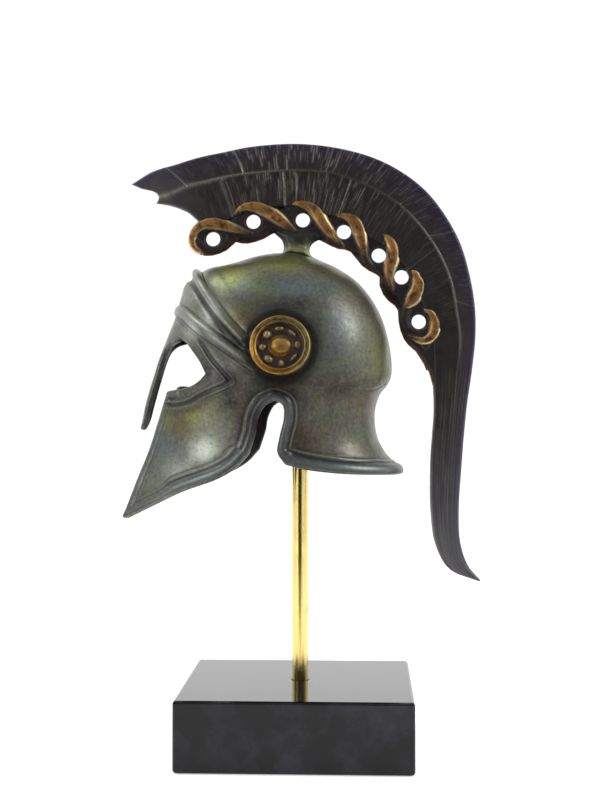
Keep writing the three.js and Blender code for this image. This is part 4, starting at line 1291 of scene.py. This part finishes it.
def block_outline(reach, corner):
    """A square outline with small round corners, as plan points."""
    spots = []
    for quarter in range(4):
        middle = np.array([math.cos(math.pi / 4 + quarter * math.pi / 2),
                           math.sin(math.pi / 4 + quarter * math.pi / 2)]) * (reach - corner) * math.sqrt(2)
        for step in range(7):
            turn = quarter * math.pi / 2 + step * math.pi / 12
            spots.append(middle + corner * np.array([math.cos(turn), math.sin(turn)]))
    return np.array(spots)


half_side = BLOCK_SIDE / 2
outlines = []
for inset, height in ((3.0, 0.0), (BLOCK_BEVEL, 0.0), (BLOCK_BEVEL * 0.35, BLOCK_BEVEL * 0.3),
                      (0.0, BLOCK_BEVEL), (0.0, BLOCK_HEIGHT - BLOCK_BEVEL),
                      (BLOCK_BEVEL * 0.35, BLOCK_HEIGHT - BLOCK_BEVEL * 0.3), (BLOCK_BEVEL, BLOCK_HEIGHT),
                      (3.0, BLOCK_HEIGHT)):
    outline = block_outline(half_side - inset, max(BLOCK_CORNER - inset * 0.5, 0.6))
    outlines.append(np.column_stack([outline, np.full(len(outline), height)]))
corner_count = len(outlines[0])
turns = np.arctan2(outlines[0][:, 1], outlines[0][:, 0])
for radius, height in ((HOLE_RADIUS + 0.5, BLOCK_HEIGHT), (HOLE_RADIUS, BLOCK_HEIGHT - 0.5),
                       (HOLE_RADIUS, HOLE_BOTTOM)):
    even_turns = turns[0] + np.arange(corner_count) * 2 * np.pi / corner_count
    outlines.append(np.column_stack([ROD_X + radius * np.cos(even_turns), radius * np.sin(even_turns),
                                     np.full(corner_count, height)]))

# %% The block as one closed mesh
block_points = np.vstack(outlines)
block_faces = ring_faces(len(outlines), corner_count)
block_faces.append(list(range(corner_count))[::-1])
block_faces.append(list(range(len(block_points) - corner_count, len(block_points))))
block = new_piece("marble_block", block_points, block_faces)
for face in block.data.polygons:
    face.use_smooth = False
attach(block, "root")
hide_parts("marble_base")

# %% [markdown]
# ## The finishes
# Each finish starts from what the real one is. A founder colours bronze in layers: a base colour, shades
# that come up in clouds, then washes that settle in hollows or are rubbed off the tops. The materials are
# built in the same order. Clouds follow a pattern that is sized in millimetres, and washes follow the
# numbers that were stored on the mesh, some of which also paint shade and highlights. In the rows of
# inputs, a Map Range node takes its value as 0, where it starts and ends as 1 and 2, and what it gives
# there as 3 and 4. A Mix node takes its share as 0 and its two colours as 6 and 7.


# %% Colours in layers
def new_material(name):
    """A material with its node tree and its main shader."""
    made = bpy.data.materials.new(name)
    made.use_nodes = True
    return made, made.node_tree, made.node_tree.nodes["Principled BSDF"]


def per_mm(size):
    """The texture scale that draws features of that size in millimetres."""
    return 1000.0 / size


def clouded(tree, colour, clouds):
    """Shades laid over a colour. Each row is [pattern, value for none, value for most, most, shade]."""
    for pattern, at_none, at_most, most, shade in clouds:
        amount = add_node(tree, "ShaderNodeMapRange", {0: pattern, 1: at_none, 2: at_most, 4: most})
        colour = add_node(tree, "ShaderNodeMix", {0: amount.outputs[0], 6: colour, 7: linear(shade)},
                          data_type="RGBA").outputs[2]
    return colour


def washed(tree, colour, washes):
    """Shades laid over a colour by the numbers stored on the mesh. Each row is [number, share, shade]."""
    for number, share, shade in washes:
        stored = add_node(tree, "ShaderNodeAttribute", attribute_name=number)
        amount = add_node(tree, "ShaderNodeMath", {0: stored.outputs["Fac"], 1: share}, operation="MULTIPLY")
        colour = add_node(tree, "ShaderNodeMix", {0: amount.outputs[0], 6: colour, 7: linear(shade)},
                          data_type="RGBA").outputs[2]
    return colour


def cast_metal(tree, shader, colour, metallic, mottle, gloss, grain, bump):
    """Join the colour to the shader, with a gloss that follows the mottle and a fine grain in relief."""
    low, high, smoothest, roughest = gloss
    rough = add_node(tree, "ShaderNodeMapRange", {0: mottle, 1: low, 2: high, 3: smoothest, 4: roughest})
    strength, depth = bump
    bumps = add_node(tree, "ShaderNodeBump", {"Strength": strength, "Distance": depth * MM, "Height": grain})
    tree.links.new(colour, shader.inputs["Base Color"])
    tree.links.new(rough.outputs[0], shader.inputs["Roughness"])
    tree.links.new(bumps.outputs[0], shader.inputs["Normal"])
    shader.inputs["Metallic"].default_value = metallic


# %% Patinated bronze: copper salts and wax over a cast and chased surface
# It looks green-brown and satin, greyer where fingers rub it and nearly black in the hollows.
patina, tree, shader = new_material("patinated_bronze")
place = add_node(tree, "ShaderNodeTexCoord").outputs["Object"]
cloud, mottle, grain, bloom = (
    add_node(tree, "ShaderNodeTexNoise", {"Vector": place, "Scale": per_mm(size), "Detail": detail,
                                          "Roughness": roughness, "Distortion": distortion}).outputs[0]
    for size, detail, roughness, distortion in (
        (16, 5.0, 0.6, 0.0), (4.5, 6.0, 0.7, 0.0), (1.3, 4.0, 0.6, 0.0), (7.5, 5.0, 0.62, 0.4)))
pits = add_node(tree, "ShaderNodeTexVoronoi", {"Vector": place, "Scale": per_mm(9), "Randomness": 1.0})
colour = clouded(tree, linear("#5b5c51"), [
    [cloud, 0.35, 0.65, 1.0, "#6c6c61"], [mottle, 0.45, 0.72, 0.6, "#454139"],
    [bloom, 0.52, 0.7, 0.5, "#5d7440"], [bloom, 0.48, 0.3, 0.5, "#5a4c5c"]])
TONES = {"olive": "#788038", "brown": "#66543c", "blue": "#6b7a80", "slate": "#4e5359",
         "purple_and_shade": "#29232a", "silver_highlight": "#c4c8be"}
broken = add_node(tree, "ShaderNodeMapRange", {0: mottle, 1: 0.3, 2: 0.65, 3: 0.65, 4: 1.15}).outputs[0]
colour = washed(tree, colour, [[tone, broken, shade] for tone, shade in TONES.items()])
colour = clouded(tree, colour, [[grain, 0.5, 0.68, 0.4, "#38362d"], [grain, 0.5, 0.32, 0.14, "#9aa08e"]])
colour = washed(tree, colour, [["pale", 0.55, "#949990"]])
colour = clouded(tree, colour, [[pits.outputs["Distance"], 0.06, 0.02, 0.6, "#26221f"]])
# The dark wash is patina in the hollows and painted shade by the steps, round the eye's border and round the
# rosettes.
colour = washed(tree, colour, [["dark", 0.85, "#262322"], ["inside", 1.0, "#2e2a2d"]])
cast_metal(tree, shader, colour, 0.72, mottle, (0.3, 0.75, 0.32, 0.46), grain, (0.22, 0.3))

# %% Where each tone lies, as rows of x, z, reach along x, reach along z and strength
PATCHES = {
    "olive": [[-29, 207.5, 12, 6, 0.9], [-6, 212.5, 14, 4, 0.9], [17.6, 210.8, 8, 4, 0.6],
              [36, 172, 6, 14, 0.5], [-31.8, 149.5, 5, 5, 0.3], [-55.8, 145.5, 3.5, 5, 0.7],
              [-24, 190, 5, 5, 0.4], [-14, 200, 8, 3, 0.45], [-44.5, 146.5, 6, 4, 0.8]],
    "brown": [[-50.5, 143, 4.5, 6, 0.9], [26.9, 153.5, 8, 6, 0.6], [14, 211, 8, 4, 0.5],
              [-20.5, 188, 5, 7, 1.0], [4, 138, 8, 7, 0.6], [30, 188, 8, 10, 0.3], [-23, 152, 4, 8, 0.5],
              [18, 158, 12, 4, 0.6], [27, 196, 7, 6, 0.5], [-42, 150.5, 6, 3, 0.5]],
    "blue": [[-1, 201.8, 12, 4.5, 0.75], [17.6, 182.8, 11, 12, 0.4], [-57, 132, 7, 9, 0.5],
             [-53, 122.8, 9, 7, 0.35], [-21, 201, 5, 5, 0.4]],
    # Purple is partly patina and partly painted shade: round the rosette, under the brow, at the eye's rear
    # corner and by the notch.
    "purple_and_shade": [[-2, 194.5, 14, 3.6, 0.75], [9.5, 188, 4, 7, 0.4], [-30, 163, 6, 5, 1.0],
               [-11, 161, 13, 4.5, 0.85], [-3, 156, 8, 4, 0.9], [-22, 144, 3.4, 10, 0.8],
               [-20, 166, 7, 5, 0.5], [-38, 173, 1.8, 6, 0.4], [-31.5, 175, 5, 6, 0.75], [3, 134, 4, 8, 0.4],
               [16, 160, 13, 6, 0.5], [-40, 156, 8, 3.5, 0.5], [-28, 154, 6, 7, 0.95],
               [-17, 147, 7, 15, 1.0], [-38.5, 165.5, 5, 6, 1.0], [-56, 178, 4, 5, 0.5],
               [20, 147, 7, 6, 0.35], [-22.5, 187, 3, 4, 0.5], [-38.3, 206.5, 2.2, 3.5, 0.9],
               [-5.5, 130, 3.2, 9, 0.55], [-40, 127, 3, 3, 0.35]],
    # Silver marks painted highlights on the brow, the band below it and the cheek.
    "silver_highlight": [[-43.8, 200, 6.5, 7, 0.3], [-44.5, 184, 4, 5, 0.7], [-39, 132.8, 6, 5, 0.6],
               [-60, 116, 9, 8, 0.15], [-53, 124, 6, 5, 0.35], [-37, 190.5, 4.5, 6, 1.0]],
    "slate": [[-58, 168, 4, 14, 0.8], [-66, 150, 6, 14, 0.6]],
}
ABOVE_RIM = 140     # above this height, painted shade darkens the faces that look down, in the purple tone
mesh = shell.data
spots, facing = (np.zeros(len(mesh.vertices) * 3, np.float32) for _ in range(2))
mesh.vertices.foreach_get("co", spots)
mesh.vertices.foreach_get("normal", facing)
spots, facing = spots.reshape(-1, 3) / MM, facing.reshape(-1, 3)
for tone, patches in PATCHES.items():
    layer = mesh.attributes.get(tone) or mesh.attributes.new(tone, "FLOAT", "POINT")
    painted = np.zeros(len(spots), np.float32)
    layer.data.foreach_get("value", painted)
    for *patch, strength in patches:
        painted = np.maximum(painted, strength * soft_patch(spots, *patch))
    if tone == "purple_and_shade":
        painted_shade_below = smoothstep(-facing[:, 2], 0.03, 0.3) * (spots[:, 2] > ABOVE_RIM)
        painted = np.maximum(painted, 0.4 * painted_shade_below)
    layer.data.foreach_set("value", painted.astype(np.float32))
shell.data.materials.append(patina)
print("patina tones", ", ".join(PATCHES))

# %% Dark bronze: a liver-of-sulphur brown-black, waxed
# It looks nearly black, grey-olive where hair is rubbed, and blue along the outer edge, partly a painted
# sheen.
dark_bronze, tree, shader = new_material("dark_bronze")
place = add_node(tree, "ShaderNodeTexCoord").outputs["Object"]
mottle, grain, wax = (
    add_node(tree, "ShaderNodeTexNoise", {"Vector": place, "Scale": per_mm(size), "Detail": detail,
                                          "Roughness": roughness}).outputs[0]
    for size, detail, roughness in ((6, 6.0, 0.65), (0.8, 3.0, 0.5), (3.2, 5.0, 0.65)))
broken = add_node(tree, "ShaderNodeMapRange", {0: grain, 1: 0.3, 2: 0.6, 3: 0.35, 4: 1.0}).outputs[0]
colour = clouded(tree, linear("#3a3136"), [[mottle, 0.35, 0.68, 1.0, "#3b3a35"]])
colour = washed(tree, colour, [
    ["blue", 0.8, "#35325c"], ["green", 1.0, "#3f463c"], ["dark", 0.6, "#262122"], ["sheen", 1.0, "#70717a"],
    ["pale", broken, "#8f8d80"], ["olive", 1.0, "#95966c"], ["fringe", 1.0, "#7a5434"]])
gold = clouded(tree, linear("#b58a50"), [[mottle, 0.38, 0.62, 1.0, "#875f37"],
                                         [wax, 0.48, 0.62, 0.85, "#4f2e1c"]])
# A painted highlight along the gilt bars' brims, brightest on their outer side.
gold = washed(tree, gold, [["brim_highlight", 1.0, "#f2e2b4"]])
gilded = add_node(tree, "ShaderNodeAttribute", attribute_name="gilt").outputs["Fac"]
colour = add_node(tree, "ShaderNodeMix", {0: gilded, 6: colour, 7: gold}, data_type="RGBA").outputs[2]
cast_metal(tree, shader, colour, 0.75, mottle, (0.3, 0.7, 0.36, 0.52), grain, (0.15, 0.25))
hair.data.materials.append(dark_bronze)
plait.data.materials.append(dark_bronze)

# %% Gilt bronze: thin gold rubbed over the casting and toned with brown wax
# It looks warm yellow-gold with brown spots and orange towards one side. It is rubbed pale on the leaves and
# the button, and a painted highlight runs along the ring's brims.
gilt, tree, shader = new_material("gilt_bronze")
place = add_node(tree, "ShaderNodeTexCoord").outputs["Object"]
mottle, grain = (
    add_node(tree, "ShaderNodeTexNoise", {"Vector": place, "Scale": per_mm(size), "Detail": detail,
                                          "Roughness": roughness}).outputs[0]
    for size, detail, roughness in ((3.5, 5.0, 0.7), (0.9, 4.0, 0.5)))
warmth, gilded = (add_node(tree, "ShaderNodeAttribute", attribute_name=number).outputs["Fac"]
                  for number in ("warm", "gilt"))
gold = clouded(tree, linear("#7a6c3e"), [[warmth, 0.25, 0.8, 1.0, "#a0762a"],
                                         [mottle, 0.5, 0.64, 0.8, "#4e3722"]])
dish = washed(tree, linear("#4f3f3e"), [["petal", 1.0, "#75693f"]])
colour = add_node(tree, "ShaderNodeMix", {0: gilded, 6: dish, 7: gold}, data_type="RGBA").outputs[2]
colour = washed(tree, colour, [["pale", 0.65, "#dcc894"]])
cast_metal(tree, shader, colour, 0.9, mottle, (0.35, 0.65, 0.38, 0.56), grain, (0.25, 0.25))
for piece in (rosette_near, rosette_far):
    piece.data.materials.append(gilt)

# %% Polished brass: drawn bar, buffed bright
# It looks clear yellow and mirrors the room in long upright streaks, with the faintest lengthwise
# scratches.
brass, tree, shader = new_material("polished_brass")
place = add_node(tree, "ShaderNodeTexCoord").outputs["Object"]
stretched = add_node(tree, "ShaderNodeMapping", {"Vector": place, "Scale": (1.0, 1.0, 0.03)})
scratches = add_node(tree, "ShaderNodeTexNoise", {"Vector": stretched.outputs[0], "Scale": per_mm(0.6),
                                                  "Detail": 3.0})
stain = add_node(tree, "ShaderNodeTexNoise", {"Vector": place, "Scale": per_mm(7), "Detail": 4.0})
colour = clouded(tree, linear("#e2cc80"), [[stain.outputs[0], 0.6, 0.75, 0.5, "#b99a48"]])
tree.links.new(colour, shader.inputs["Base Color"])
shader.inputs["Metallic"].default_value = 1.0
rough = add_node(tree, "ShaderNodeMapRange", {0: scratches.outputs[0], 1: 0.3, 2: 0.7, 3: 0.13, 4: 0.24})
tree.links.new(rough.outputs[0], shader.inputs["Roughness"])
brass_rod.data.materials.append(brass)

# %% Black marble: sawn, honed and polished stone
# It looks almost black, with soft grey-violet clouds in it, and its polish mirrors the white table.
marble, tree, shader = new_material("black_marble")
place = add_node(tree, "ShaderNodeTexCoord").outputs["Object"]
warp = add_node(tree, "ShaderNodeTexNoise", {"Vector": place, "Scale": per_mm(30), "Detail": 3.0})
bent = add_node(tree, "ShaderNodeVectorMath", {0: warp.outputs["Color"], 1: (0.02, 0.02, 0.02)},
                operation="MULTIPLY")
bent = add_node(tree, "ShaderNodeVectorMath", {0: place, 1: bent.outputs[0]}, operation="ADD")
cloud = add_node(tree, "ShaderNodeTexNoise", {"Vector": bent.outputs[0], "Scale": per_mm(15), "Detail": 7.0,
                                              "Roughness": 0.65})
colour = clouded(tree, linear("#060509"), [[cloud.outputs[0], 0.44, 0.7, 1.0, "#25232c"]])
tree.links.new(colour, shader.inputs["Base Color"])
shader.inputs["Roughness"].default_value = 0.1
shader.inputs["IOR"].default_value = 1.36
block.data.materials.append(marble)
for finish in (patina, dark_bronze, gilt, brass, marble):
    print(finish.name, "has", len(finish.node_tree.nodes), "nodes")
